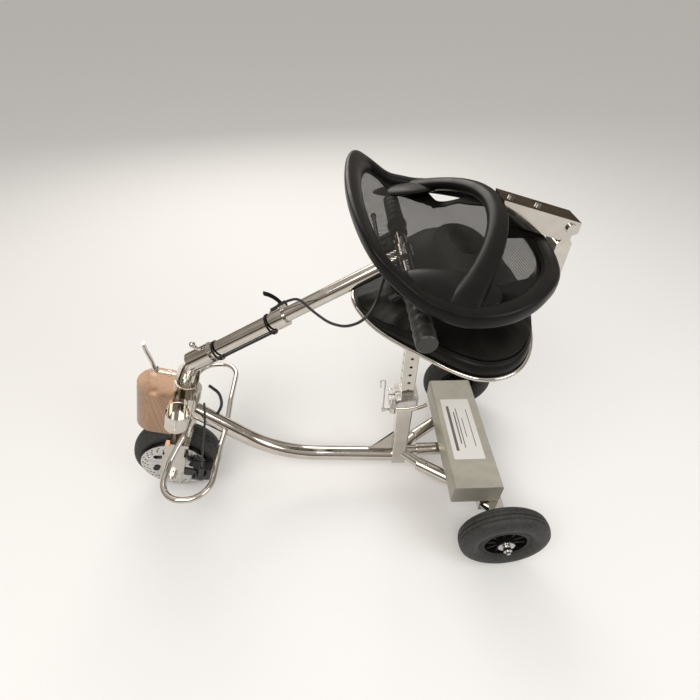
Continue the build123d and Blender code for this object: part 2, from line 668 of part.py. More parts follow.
with BuildPart() as brake_lever:
    rod(in_tiller(-lever_in + 1, -8.5, tiller_reach - 35), in_tiller(-lever_in + 1, 8.5, tiller_reach - 35), 2.5)
    rod(in_tiller(-lever_in + 1, -3.1, tiller_reach - 35), in_tiller(-lever_in + 1, 3.1, tiller_reach - 35), 5.5)
    rod(in_tiller(-lever_in, 0, tiller_reach - 36), in_tiller(-lever_in - 28, 0, tiller_reach - 44), 3)
    rod(in_tiller(-lever_in - 28, 0, tiller_reach - 44), in_tiller(-lever_in - 118, 0, tiller_reach - 44), 4)
    with Locations(in_tiller(-lever_in - 120, 0, tiller_reach - 44)):
        Sphere(6)
    with Locations(in_tiller(-lever_in - 28, 0, tiller_reach - 44)):
        Sphere(4)
save(brake_lever, "brake_lever")

with BuildPart() as throttle:
    ring_about(in_tiller(0, 0, tiller_reach), bar_radius + running, 17, grip_start - 16, grip_start - 2)
    block((grip_start - 14, -6, tiller_reach - 40), (grip_start - 4, 1, tiller_reach - 13), plane=tiller)
save(throttle, "thumb_throttle")

# ---------------------------------------------------------------- cables between clips
loop_points = [
    Vector(rear_x + 256, 26, 668),
    Vector(rear_x + 276, 48, 674),
    Vector(rear_x + 288, 82, 656),
    Vector(rear_x + 301, 107, 635),
    Vector(rear_x + 320, 120, 614),
    Vector(rear_x + 347, 114, 598),
    Vector(rear_x + 375, 90, 588),
    Vector(rear_x + 406, 53, 588),
    Vector(rear_x + 430, 20, 592),
    in_tiller(2, -28, collar_at + 32),
    in_tiller(0, cable_rise, collar_at - 5),
]


def cable_radii(points):
    """Largest even bend at each corner of a cable's route."""
    radii = []
    for before, here, after in zip(points, points[1:], points[2:]):
        turn = radians((here - before).get_angle(after - here))
        run = min((here - before).length, (after - here).length)
        radii.append(0.45 * run / tan(turn / 2))
    return radii


def cable(points, radius):
    """Cable along straight runs joined by tangent arcs."""
    radii = cable_radii(points)
    print("  bends", [round(r, 1) for r in radii])
    with BuildLine(mode=Mode.PRIVATE) as route:
        FilletPolyline(*points, radius=radii)
    with BuildSketch(Plane(origin=points[0], z_dir=route.line % 0), mode=Mode.PRIVATE) as section:
        Circle(radius)
    sweep(section.sketch, path=route.line)
    print("  length", round(sum(edge.length for edge in route.edges()), 1))


with BuildPart() as loop_cable:
    cable(loop_points, cable_radius)
save(loop_cable, "loop_cable")

fork_points = [
    in_steer(-36, 30, 118),
    in_steer(-44, 38, 70),
    in_steer(-47, 50, 20),
    in_steer(-52, 66, -28),
    in_steer(-56, 73, -62),
]
with BuildPart() as fork_cable:
    cable(fork_points, cable_radius)
save(fork_cable, "fork_cable")

power_radius = 3.5
power_points = [
    Vector(rear_x + 652, -8, 236),
    Vector(rear_x + 632, -10, 272),
    Vector(rear_x + 632, -10, 312),
    Vector(rear_x + 650, -10, 336),
]
with BuildPart() as power_cable:
    cable(power_points, power_radius)
    add(main_frame.part, mode=Mode.SUBTRACT)
save(power_cable, "power_cable")

# ---------------------------------------------------------------- seat
outline_stations = 16


def closed_outline(half, inset):
    """Smooth closed shape from its left half, drawn in by an inset."""
    with BuildLine(mode=Mode.PRIVATE) as guide:
        Spline(*[(rear_x + x, y) for x, y in half], tangents=((0, 1), (0, -1)))
    points = []
    for n in range(outline_stations + 1):
        place = guide.line @ (n / outline_stations)
        heading = guide.line % (n / outline_stations)
        points.append((place.X - heading.Y * inset, place.Y + heading.X * inset))
    points[0] = (points[0][0], 0)
    points[-1] = (points[-1][0], 0)
    with BuildSketch(Plane.XY, mode=Mode.PRIVATE) as outline:
        with BuildLine():
            Spline(*points, tangents=((0, 1), (0, -1)))
            Spline(*[(x, -y) for x, y in points], tangents=((0, -1), (0, 1)))
        make_face()
    return outline.sketch


trim_radius = 4.0
pan_thick = 5.0
post_top = seat_height - pan_thick - 1


def seat_outline(inset):
    """Seat shape from above: a rounded nose in front, wide at the back."""
    half = [(331, 0), (298, 92), (222, 171), (148, 222), (80, 202), (34, 120), (20, 0)]
    return closed_outline(half, inset)


with BuildPart() as seat_post:
    block((post_x - post_size / 2, -post_size / 2, 112), (post_x + post_size / 2, post_size / 2, post_top),
          corner=1.5)
    block((post_x - post_size / 2 + 2.5, -post_size / 2 + 2.5, 110),
          (post_x + post_size / 2 - 2.5, post_size / 2 - 2.5, post_top - 4), Mode.SUBTRACT)
    for n in range(9):
        hole_z = socket_top + 34 + 24 * n
        rod((post_x - 20, 0, hole_z), (post_x + 20, 0, hole_z), 3.5, Mode.SUBTRACT)
        rod((post_x, -20, hole_z), (post_x, 20, hole_z), 3.5, Mode.SUBTRACT)
    block((post_x - 20, -lock_radius - slide_gap, pin_z - lock_radius - slide_gap),
          (post_x + 20, lock_radius + slide_gap, pin_z + lock_radius + 20 + slide_gap), Mode.SUBTRACT)
save(seat_post, "seat_post")

with BuildPart() as seat_pan:
    with BuildSketch(Plane.XY.offset(seat_height - pan_thick)):
        add(seat_outline(trim_radius + running))
    extrude(amount=pan_thick)
    block((post_x - 60, -45, post_top), (post_x + 60, 45, seat_height - pan_thick), corner=4)
save(seat_pan, "seat_pan")

with BuildPart() as seat_trim:
    with BuildSketch(Plane.XY.offset(seat_height - trim_radius)):
        add(seat_outline(-trim_radius))
        add(seat_outline(trim_radius), mode=Mode.SUBTRACT)
    extrude(amount=2 * trim_radius)
save(seat_trim, "seat_trim")

cushion_top = 634.0
dome_radius = 870.0
with BuildPart() as cushion:
    with BuildSketch(Plane.XY.offset(seat_height + running)):
        add(seat_outline(trim_radius + 0.5))
    extrude(amount=cushion_top - seat_height)
    with Locations((rear_x + 150, 0, cushion_top - dome_radius)):
        Sphere(dome_radius, mode=Mode.INTERSECT)
    with BuildSketch(Plane.XZ.offset(-300), mode=Mode.PRIVATE) as nose_cut:
        with BuildLine():
            Polyline((rear_x + 360, 583), (rear_x + 360, 700), (rear_x + 120, 700),
                     (rear_x + 212, 631), (rear_x + 300, 604), (rear_x + 360, 583))
        make_face()
    extrude(nose_cut.sketch, amount=600, mode=Mode.SUBTRACT)
save(cushion, "seat_cushion")

# ---------------------------------------------------------------- backrest support and hinge
hinge_x = rear_x - 25.0
hinge_z = 727.0
cheek = hinge_half - 3.3
hinge_radius = 5.0

with BuildPart() as back_support:
    under_pan = seat_height - pan_thick
    with BuildSketch(Plane.XZ.offset(-cheek)):
        with BuildLine():
            Polyline((rear_x + 140, under_pan), (rear_x + 140, under_pan - 9), (rear_x + 6, under_pan - 9),
                     (rear_x - 38, under_pan + 30), (rear_x - 38, hinge_z - 30), (hinge_x - 7.5, hinge_z - 22),
                     (hinge_x - 7.5, hinge_z), (hinge_x + 7.5, hinge_z), (hinge_x + 7.5, hinge_z - 22),
                     (rear_x - 12, hinge_z - 30), (rear_x - 12, under_pan + 44), (rear_x + 10, under_pan),
                     (rear_x + 140, under_pan))
        make_face()
    extrude(amount=2 * cheek)
    rod((hinge_x, -cheek, hinge_z), (hinge_x, cheek, hinge_z), 8.2)
    rod((hinge_x, -cheek + 5, hinge_z), (hinge_x, cheek - 5, hinge_z), 31, Mode.SUBTRACT)
    rod((hinge_x, -30, hinge_z), (hinge_x, 30, hinge_z), hinge_radius + running, Mode.SUBTRACT)
    block((post_x - 60, -45, post_top - 20), (post_x + 60, 45, post_top), Mode.SUBTRACT)
save(back_support, "back_support")

channel_tilt = 16.0
fall = tan(radians(channel_tilt))
strip_front = rear_x + 97
strip_rear = rear_x - 40
strip_front_z = 775.0
strip_rear_z = strip_front_z - (strip_front - strip_rear) * fall


def strip_z(x):
    """Top of the hinge channel at a distance along the machine."""
    return strip_front_z - (strip_front - x) * fall


with BuildPart() as back_channel:
    with BuildSketch(Plane.XZ.offset(-hinge_half)):
        with BuildLine():
            Polyline((strip_front, strip_front_z), (strip_rear, strip_rear_z), (strip_rear, strip_rear_z - 18),
                     (rear_x - 12, 706), (strip_front - 6, strip_front_z - 36), (strip_front, strip_front_z))
        make_face()
    extrude(amount=2 * hinge_half)
    with BuildSketch(Plane.XZ.offset(-hinge_half + 3), mode=Mode.PRIVATE) as channel_inner:
        with BuildLine():
            Polyline((strip_front + 20, strip_z(strip_front + 20) - 3), (strip_rear - 20, strip_z(strip_rear - 20) - 3),
                     (strip_rear - 20, 640), (strip_front + 20, 640), (strip_front + 20, strip_z(strip_front + 20) - 3))
        make_face()
    extrude(channel_inner.sketch, amount=2 * hinge_half - 6, mode=Mode.SUBTRACT)
    rod((hinge_x, -hinge_half - 5, hinge_z), (hinge_x, hinge_half + 5, hinge_z), hinge_radius)
    for side in (-1, 1):
        rod((hinge_x, side * hinge_half, hinge_z), (hinge_x, side * (hinge_half + 5), hinge_z), 8)
save(back_channel, "back_hinge_channel")

with BuildPart() as channel_screws:
    for screw_x in (rear_x + 30, rear_x + 78):
        base = Vector(screw_x, 0, strip_z(screw_x))
        normal = Vector(-sin(radians(channel_tilt)), 0, cos(radians(channel_tilt)))
        rod(base, base + normal * 3, 5)
save(channel_screws, "channel_screws")

# ---------------------------------------------------------------- backrest frame, mesh and pad
rim_depth = 26.0
rim_width = 28.0


def back_outline(inset):
    """Backrest shape from above, symmetric about the middle plane."""
    half = [(347, 0), (338, 120), (312, 196), (253, 224), (190, 240), (129, 230), (70, 190), (22, 118), (4, 0)]
    return closed_outline(half, inset)


def back_slab(low, high):
    """Band that follows the backrest's curve: level behind, curled up in front."""
    curve = [(-20, 704), (60, 716), (129, 713), (197, 715), (253, 732), (300, 772), (330, 799), (352, 812)]
    top = [(rear_x + x, z + high) for x, z in curve]
    bottom = [(rear_x + x, z + low) for x, z in reversed(curve)]
    with BuildSketch(Plane.XZ.offset(-260), mode=Mode.PRIVATE) as band:
        with BuildLine():
            Spline(*top)
            Line(top[-1], bottom[0])
            Spline(*bottom)
            Line(bottom[-1], top[0])
        make_face()
    return band.sketch


arch_front_x = rear_x + 203
arch_back_x = strip_front + 14.0
arch_half = 212.0
arch_side_z = 716.0
arch_mid_z = 768.0
arch_radius = 12.0
mount_front_x = rear_x + 82


def crossbar(radius, mode=Mode.ADD):
    """Arched bar from rim to rim, bowed to the rear and upwards."""
    with BuildLine(mode=Mode.PRIVATE) as arch:
        ThreePointArc((arch_front_x, arch_half, arch_side_z), (arch_back_x, 0, arch_mid_z),
                      (arch_front_x, -arch_half, arch_side_z))
    with BuildSketch(Plane(origin=arch.line @ 0, z_dir=arch.line % 0), mode=Mode.PRIVATE) as section:
        Circle(radius)
    sweep(section.sketch, path=arch.line, mode=mode)


with BuildPart() as back_frame:
    with BuildSketch(Plane.XY.offset(640)):
        add(back_outline(0))
        add(back_outline(rim_width), mode=Mode.SUBTRACT)
    extrude(amount=200)
    extrude(back_slab(-rim_depth, 0), amount=520, mode=Mode.INTERSECT)
    crossbar(arch_radius)
    block((rear_x + 22, -19, 706), (mount_front_x, 19, 738), corner=0)
    block((mount_front_x - 12, -14, 736), (arch_back_x, 14, 762), corner=0)
    rod((hinge_x, -30, hinge_z), (hinge_x, 30, hinge_z), 34, Mode.SUBTRACT)
    add(back_channel.part, mode=Mode.SUBTRACT)
save(back_frame, "back_frame")

with BuildPart() as back_mesh:
    with BuildSketch(Plane.XY.offset(640)):
        add(back_outline(rim_width + soft_gap))
    extrude(amount=200)
    extrude(back_slab(-16, -12.5), amount=520, mode=Mode.INTERSECT)
    crossbar(arch_radius + soft_gap, Mode.SUBTRACT)
    block((rear_x + 22 - soft_gap, -19 - soft_gap, 690), (mount_front_x + soft_gap, 19 + soft_gap, 760), Mode.SUBTRACT)
    rod((hinge_x, -30, hinge_z), (hinge_x, 30, hinge_z), 34, Mode.SUBTRACT)
save(back_mesh, "back_mesh")

with BuildPart() as pad:
    with BuildSketch(Plane.XY.offset(676)):
        with Locations((rear_x + 145, 0)):
            Ellipse(48, 78)
    extrude(amount=20)
    fillet(pad.edges(), 8)
save(pad, "lumbar_pad")
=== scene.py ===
"""A folded three-wheeled travel scooter: its finishes, its upholstery and its studio."""
# %% [markdown]
# # A folded travel scooter
# The frame, wheels, joints and fasteners come from the CAD model, and they stay where they are.
# This lesson adds what a workshop adds last: finishes for every metal, plastic and rubber piece,
# a padded seat, the moulded hoop and stretched net of the backrest, and small trim.

from math import cos, pi, radians, sin

import bmesh
import bpy
from mathutils import Matrix, Vector


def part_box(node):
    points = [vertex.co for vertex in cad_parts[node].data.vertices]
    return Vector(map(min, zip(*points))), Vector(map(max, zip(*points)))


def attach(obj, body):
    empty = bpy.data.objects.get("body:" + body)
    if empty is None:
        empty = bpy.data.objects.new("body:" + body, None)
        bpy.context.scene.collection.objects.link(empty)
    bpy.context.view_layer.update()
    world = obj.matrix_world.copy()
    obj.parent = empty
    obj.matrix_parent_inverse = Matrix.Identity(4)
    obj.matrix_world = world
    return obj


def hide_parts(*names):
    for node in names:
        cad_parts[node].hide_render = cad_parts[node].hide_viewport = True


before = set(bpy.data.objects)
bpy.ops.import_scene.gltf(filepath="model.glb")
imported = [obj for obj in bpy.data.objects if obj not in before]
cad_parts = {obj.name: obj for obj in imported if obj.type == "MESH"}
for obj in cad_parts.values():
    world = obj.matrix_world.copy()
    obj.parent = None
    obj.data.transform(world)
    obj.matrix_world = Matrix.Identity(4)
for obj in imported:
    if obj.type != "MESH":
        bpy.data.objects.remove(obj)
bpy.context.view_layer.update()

# %% [markdown]
# Operators act on whatever is selected, and loading leaves the frame selected. Each new piece
# therefore starts from nothing selected, and its faces are then picked by place.


# %% Selection helpers
def deselect():
    """Leave object mode with nothing selected."""
    if bpy.context.object and bpy.context.object.mode != "OBJECT":
        bpy.ops.object.mode_set(mode="OBJECT")
    bpy.ops.object.select_all(action="DESELECT")


def make_active(piece):
    """Select one piece alone."""
    deselect()
    piece.select_set(True)
    bpy.context.view_layer.objects.active = piece
    return piece


def pick_faces(piece, test):
    """In edit mode, select the faces whose centre and normal pass a test."""
    mesh = bmesh.from_edit_mesh(piece.data)
    for face in mesh.faces:
        face.select_set(bool(test(face.calc_center_median(), face.normal)))
    mesh.select_flush_mode()
    bmesh.update_edit_mesh(piece.data)


def settle(piece, name, angle=40):
    """Name a piece, put its place into its mesh and smooth its gentle edges."""
    make_active(piece)
    piece.name = name
    bpy.ops.object.transform_apply(location=True, rotation=True, scale=True)
    bpy.ops.object.shade_smooth_by_angle(angle=radians(angle))
    return piece


def apply_all(piece):
    """Apply every modifier on a piece, in order."""
    make_active(piece)
    for modifier in list(piece.modifiers):
        bpy.ops.object.modifier_apply(modifier=modifier.name)


# %% [markdown]
# ## Places and directions
# The frame's own boxes say where the cushion, the label and the wheels are.

# %% Places from the frame
cushion_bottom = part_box("seat_cushion")[0][2]
label_low, label_high = (Vector(corner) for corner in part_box("battery_label"))
front_low, front_high = (Vector(corner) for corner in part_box("front_tyre"))
front_hub = (front_low + front_high) / 2
rear_hubs = {}
for side in ("left", "right"):
    low, high = (Vector(corner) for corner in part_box(f"{side}_rear_tyre"))
    rear_hubs[side] = (low + high) / 2
rear_x = rear_hubs["left"].x
print("rear axle at", round(rear_x, 4), "front axle at", round(front_hub.x, 4))

# %% [markdown]
# ## Shader groups
# Grain, edge wear and handling marks are effects that many finishes share. Each is a group with named
# inputs, and it gives out a mask or a normal. The finish itself stays in the material.


# %% Group tools
def new_group(name, inputs, outputs):
    """Start a shader group with named sockets."""
    group = bpy.data.node_groups.new(name, "ShaderNodeTree")
    for label, kind, value in inputs:
        socket = group.interface.new_socket(label, in_out="INPUT", socket_type=kind)
        if value is not None:
            socket.default_value = value
    for label, kind in outputs:
        group.interface.new_socket(label, in_out="OUTPUT", socket_type=kind)
    start = group.nodes.new("NodeGroupInput")
    end = group.nodes.new("NodeGroupOutput")
    return group, start, end


def add_node(tree, kind, **settings):
    """Add a node and set its properties or its inputs by name."""
    node = tree.nodes.new(kind)
    for key, value in settings.items():
        if hasattr(node, key):
            setattr(node, key, value)
        else:
            node.inputs[key.replace("_", " ")].default_value = value
    return node


# %% Fine grain: a cloudy mask and a bumped normal
grain_group, grain_in, grain_out = new_group(
    "Fine grain",
    [
        ("Scale", "NodeSocketFloat", 400.0),
        ("Depth", "NodeSocketFloat", 0.15),
        ("Distance", "NodeSocketFloat", 0.0004),
    ],
    [("Mask", "NodeSocketFloat"), ("Normal", "NodeSocketVector")],
)
place = add_node(grain_group, "ShaderNodeTexCoord")
fine = add_node(grain_group, "ShaderNodeTexNoise", Detail=6.0, Roughness=0.62)
lift = add_node(grain_group, "ShaderNodeBump")
grain_group.links.new(place.outputs["Object"], fine.inputs["Vector"])
grain_group.links.new(grain_in.outputs["Scale"], fine.inputs["Scale"])
grain_group.links.new(fine.outputs["Fac"], lift.inputs["Height"])
grain_group.links.new(grain_in.outputs["Depth"], lift.inputs["Strength"])
grain_group.links.new(grain_in.outputs["Distance"], lift.inputs["Distance"])
grain_group.links.new(fine.outputs["Fac"], grain_out.inputs["Mask"])
grain_group.links.new(lift.outputs["Normal"], grain_out.inputs["Normal"])
print("group", grain_group.name)

# %% Worn edges: a mask that is bright where a surface turns sharply
wear_group, wear_in, wear_out = new_group(
    "Worn edges",
    [("Reach", "NodeSocketFloat", 0.0012), ("Patchiness", "NodeSocketFloat", 60.0)],
    [("Mask", "NodeSocketFloat")],
)
soft_edge = add_node(wear_group, "ShaderNodeBevel", samples=4)
true_face = add_node(wear_group, "ShaderNodeNewGeometry")
agree = add_node(wear_group, "ShaderNodeVectorMath", operation="DOT_PRODUCT")
sharp = add_node(wear_group, "ShaderNodeMapRange", From_Min=0.98, From_Max=0.8, To_Min=0.0, To_Max=1.0)
patches = add_node(wear_group, "ShaderNodeTexNoise", Detail=4.0)
patch_place = add_node(wear_group, "ShaderNodeTexCoord")
broken = add_node(wear_group, "ShaderNodeMath", operation="MULTIPLY")
wear_group.links.new(wear_in.outputs["Reach"], soft_edge.inputs["Radius"])
wear_group.links.new(soft_edge.outputs["Normal"], agree.inputs[0])
wear_group.links.new(true_face.outputs["Normal"], agree.inputs[1])
wear_group.links.new(agree.outputs["Value"], sharp.inputs["Value"])
wear_group.links.new(patch_place.outputs["Object"], patches.inputs["Vector"])
wear_group.links.new(wear_in.outputs["Patchiness"], patches.inputs["Scale"])
wear_group.links.new(sharp.outputs["Result"], broken.inputs[0])
wear_group.links.new(patches.outputs["Fac"], broken.inputs[1])
wear_group.links.new(broken.outputs["Value"], wear_out.inputs["Mask"])
print("group", wear_group.name)

# %% Handling marks: broad, faint patches that dull a polished surface
haze_group, haze_in, haze_out = new_group(
    "Handling marks",
    [("Scale", "NodeSocketFloat", 9.0), ("Clean", "NodeSocketFloat", 0.05), ("Dull", "NodeSocketFloat", 0.2)],
    [("Roughness", "NodeSocketFloat"), ("Mask", "NodeSocketFloat")],
)
haze_place = add_node(haze_group, "ShaderNodeTexCoord")
haze_noise = add_node(haze_group, "ShaderNodeTexNoise", Detail=8.0, Roughness=0.7, Distortion=0.6)
haze_step = add_node(haze_group, "ShaderNodeMapRange", From_Min=0.42, From_Max=0.72)
haze_group.links.new(haze_place.outputs["Object"], haze_noise.inputs["Vector"])
haze_group.links.new(haze_in.outputs["Scale"], haze_noise.inputs["Scale"])
haze_group.links.new(haze_noise.outputs["Fac"], haze_step.inputs["Value"])
haze_group.links.new(haze_in.outputs["Clean"], haze_step.inputs["To Min"])
haze_group.links.new(haze_in.outputs["Dull"], haze_step.inputs["To Max"])
haze_group.links.new(haze_step.outputs["Result"], haze_out.inputs["Roughness"])
haze_group.links.new(haze_noise.outputs["Fac"], haze_out.inputs["Mask"])
print("group", haze_group.name)


# %% [markdown]
# ## Finishes
# A finish is a Principled material. Its constants are set on the shader's own sockets, and only
# what varies over the surface comes through a group.

# %% Finish builder
finishes = {}


def new_finish(name, colour, metallic=0.0, roughness=0.5, **sockets):
    """Start a material and return its tree, its shader and itself."""
    material = bpy.data.materials.new(name)
    material.use_nodes = True
    tree = material.node_tree
    shader = tree.nodes["Principled BSDF"]
    shader.inputs["Base Color"].default_value = (*colour, 1.0)
    shader.inputs["Metallic"].default_value = metallic
    shader.inputs["Roughness"].default_value = roughness
    for key, value in sockets.items():
        shader.inputs[key.replace("_", " ")].default_value = value
    finishes[name] = material
    return material, tree, shader


def use_group(tree, group, **values):
    """Place a shared effect in a material."""
    node = tree.nodes.new("ShaderNodeGroup")
    node.node_tree = group
    for key, value in values.items():
        node.inputs[key].default_value = value
    return node


def tint(tree, shader, mask, low, high, start=0.3, end=0.7):
    """Vary the base colour between two tones by a mask."""
    ramp = tree.nodes.new("ShaderNodeValToRGB")
    ramp.color_ramp.elements[0].position = start
    ramp.color_ramp.elements[0].color = (*low, 1.0)
    ramp.color_ramp.elements[1].position = end
    ramp.color_ramp.elements[1].color = (*high, 1.0)
    tree.links.new(mask, ramp.inputs["Fac"])
    tree.links.new(ramp.outputs["Color"], shader.inputs["Base Color"])
    return ramp


# %% [markdown]
# ### Polished tube
# The tubes are stainless steel polished to a mirror. A mirror only looks like metal when it has
# something to reflect, so the finish stays simple: a warm tone, faint handling marks that dull it
# in patches, and very fine polishing scratches.

# %% Polished tube
steel, steel_tree, steel_shader = new_finish("Polished tube", (0.60, 0.56, 0.51), 1.0, 0.08)
marks = use_group(steel_tree, haze_group, Scale=14.0, Clean=0.05, Dull=0.19)
scratches = use_group(steel_tree, grain_group, Scale=1400.0, Depth=0.035, Distance=0.0001)
steel_tree.links.new(marks.outputs["Roughness"], steel_shader.inputs["Roughness"])
steel_tree.links.new(scratches.outputs["Normal"], steel_shader.inputs["Normal"])
tint(steel_tree, steel_shader, marks.outputs["Mask"], (0.50, 0.46, 0.41), (0.66, 0.62, 0.57))
print("finish", steel.name)

# %% Turned steel: pins, nuts, bolts and bearings
turned, turned_tree, turned_shader = new_finish(
    "Turned steel", (0.55, 0.54, 0.52), 1.0, 0.24, Anisotropic=0.4
)
turned_marks = use_group(turned_tree, haze_group, Scale=60.0, Clean=0.14, Dull=0.36)
turned_tree.links.new(turned_marks.outputs["Roughness"], turned_shader.inputs["Roughness"])
tint(turned_tree, turned_shader, turned_marks.outputs["Mask"], (0.42, 0.41, 0.39), (0.68, 0.67, 0.65))
print("finish", turned.name)

# %% [markdown]
# ### Brushed can
# The can at the front is brushed along its height and has a warm copper cast. Brushing is noise
# stretched a great deal in one direction, which both bumps the surface and dulls it in streaks.

# %% Brushed can
brushed, brushed_tree, brushed_shader = new_finish(
    "Brushed can", (0.36, 0.23, 0.15), 1.0, 0.3, Anisotropic=0.6
)
brush_place = add_node(brushed_tree, "ShaderNodeTexCoord")
brush_turn = add_node(brushed_tree, "ShaderNodeMapping")
brush_turn.inputs["Rotation"].default_value = (0.0, radians(17), 0.0)
brush_turn.inputs["Scale"].default_value = (700.0, 700.0, 6.0)
brush_noise = add_node(brushed_tree, "ShaderNodeTexNoise", Scale=1.0, Detail=3.0)
brush_bump = add_node(brushed_tree, "ShaderNodeBump", Strength=0.12, Distance=0.0002)
brush_rough = add_node(brushed_tree, "ShaderNodeMapRange", To_Min=0.2, To_Max=0.42)
brushed_tree.links.new(brush_place.outputs["Object"], brush_turn.inputs["Vector"])
brushed_tree.links.new(brush_turn.outputs["Vector"], brush_noise.inputs["Vector"])
brushed_tree.links.new(brush_noise.outputs["Fac"], brush_bump.inputs["Height"])
brushed_tree.links.new(brush_noise.outputs["Fac"], brush_rough.inputs["Value"])
brushed_tree.links.new(brush_rough.outputs["Result"], brushed_shader.inputs["Roughness"])
brushed_tree.links.new(brush_bump.outputs["Normal"], brushed_shader.inputs["Normal"])
tint(brushed_tree, brushed_shader, brush_noise.outputs["Fac"], (0.27, 0.165, 0.105), (0.46, 0.31, 0.215))
print("finish", brushed.name)

# %% Moulded black: the backrest's hoop, slightly glossy with a faint grain
moulded, moulded_tree, moulded_shader = new_finish(
    "Moulded black", (0.006, 0.006, 0.005), 0.0, 0.36, Specular_IOR_Level=0.14
)
moulded_grain = use_group(moulded_tree, grain_group, Scale=900.0, Depth=0.16, Distance=0.0002)
moulded_haze = use_group(moulded_tree, haze_group, Scale=12.0, Clean=0.3, Dull=0.48)
moulded_tree.links.new(moulded_grain.outputs["Normal"], moulded_shader.inputs["Normal"])
moulded_tree.links.new(moulded_haze.outputs["Roughness"], moulded_shader.inputs["Roughness"])
tint(moulded_tree, moulded_shader, moulded_haze.outputs["Mask"], (0.004, 0.004, 0.004), (0.009, 0.008, 0.007))
print("finish", moulded.name)

# %% Black plastic: levers, clamp bodies and the switch box, greyer where handled
plastic, plastic_tree, plastic_shader = new_finish(
    "Black plastic", (0.012, 0.012, 0.012), 0.0, 0.45, Specular_IOR_Level=0.16
)
plastic_grain = use_group(plastic_tree, grain_group, Scale=1500.0, Depth=0.3, Distance=0.0002)
plastic_wear = use_group(plastic_tree, wear_group, Reach=0.001, Patchiness=90.0)
plastic_tree.links.new(plastic_grain.outputs["Normal"], plastic_shader.inputs["Normal"])
plastic_mask = plastic_wear.outputs["Mask"]
tint(plastic_tree, plastic_shader, plastic_mask, (0.008, 0.008, 0.008), (0.06, 0.06, 0.055), 0.1, 0.6)
print("finish", plastic.name)

# %% Black enamel: the motor's shell, the caliper and the brake lever, chipped at their edges
enamel, enamel_tree, enamel_shader = new_finish("Black enamel", (0.012, 0.012, 0.012), 0.2, 0.32)
enamel_grain = use_group(enamel_tree, grain_group, Scale=500.0, Depth=0.1, Distance=0.0003)
enamel_wear = use_group(enamel_tree, wear_group, Reach=0.0008, Patchiness=140.0)
enamel_tree.links.new(enamel_grain.outputs["Normal"], enamel_shader.inputs["Normal"])
enamel_mask = enamel_wear.outputs["Mask"]
tint(enamel_tree, enamel_shader, enamel_mask, (0.010, 0.010, 0.010), (0.35, 0.34, 0.33), 0.25, 0.7)
print("finish", enamel.name)

# %% Champagne box: a fine blasted and anodised surface
champagne, champagne_tree, champagne_shader = new_finish("Champagne anodised", (0.38, 0.36, 0.30), 0.35, 0.42)
champagne_grain = use_group(champagne_tree, grain_group, Scale=1300.0, Depth=0.14, Distance=0.0002)
champagne_haze = use_group(champagne_tree, haze_group, Scale=8.0, Clean=0.36, Dull=0.52)
champagne_tree.links.new(champagne_grain.outputs["Normal"], champagne_shader.inputs["Normal"])
champagne_tree.links.new(champagne_haze.outputs["Roughness"], champagne_shader.inputs["Roughness"])
tint(champagne_tree, champagne_shader, champagne_haze.outputs["Mask"], (0.33, 0.31, 0.26), (0.43, 0.41, 0.35))
print("finish", champagne.name)

# %% [markdown]
# ### Tyre rubber
# Rubber is dark grey rather than black, dusty, and finely ribbed. Distance from the axle gives
# rings on the side wall, and it is measured in the wheel's own plane.


# %% Tyre rubber
def tyre_finish(name, hub):
    """Rubber with ring marks about a hub and dust in noisy patches."""
    material, tree, shader = new_finish(name, (0.018, 0.018, 0.018), 0.0, 0.62)
    where = add_node(tree, "ShaderNodeTexCoord")
    centre = add_node(tree, "ShaderNodeMapping")
    centre.inputs["Location"].default_value = (-hub.x, -hub.y, -hub.z)
    flat = add_node(tree, "ShaderNodeVectorMath", operation="MULTIPLY")
    flat.inputs[1].default_value = (1.0, 0.0, 1.0)
    distance = add_node(tree, "ShaderNodeVectorMath", operation="LENGTH")
    waves = add_node(tree, "ShaderNodeMath", operation="MULTIPLY")
    waves.inputs[1].default_value = 900.0
    ripple = add_node(tree, "ShaderNodeMath", operation="SINE")
    dust = add_node(tree, "ShaderNodeTexNoise", Scale=120.0, Detail=7.0, Roughness=0.7)
    sum_up = add_node(tree, "ShaderNodeMath", operation="MULTIPLY_ADD")
    sum_up.inputs[1].default_value = 0.35
    bump = add_node(tree, "ShaderNodeBump", Strength=0.35, Distance=0.0004)
    tree.links.new(where.outputs["Object"], centre.inputs["Vector"])
    tree.links.new(centre.outputs["Vector"], flat.inputs[0])
    tree.links.new(flat.outputs["Vector"], distance.inputs[0])
    tree.links.new(distance.outputs["Value"], waves.inputs[0])
    tree.links.new(waves.outputs["Value"], ripple.inputs[0])
    tree.links.new(where.outputs["Object"], dust.inputs["Vector"])
    tree.links.new(ripple.outputs["Value"], sum_up.inputs[0])
    tree.links.new(dust.outputs["Fac"], sum_up.inputs[2])
    tree.links.new(sum_up.outputs["Value"], bump.inputs["Height"])
    tree.links.new(bump.outputs["Normal"], shader.inputs["Normal"])
    tint(tree, shader, dust.outputs["Fac"], (0.010, 0.010, 0.010), (0.045, 0.043, 0.040), 0.35, 0.75)
    return material


hubs = {"front": front_hub, "left rear": rear_hubs["left"], "right rear": rear_hubs["right"]}
for wheel_name, hub in hubs.items():
    print("finish", tyre_finish(f"Tyre rubber {wheel_name}", hub).name)

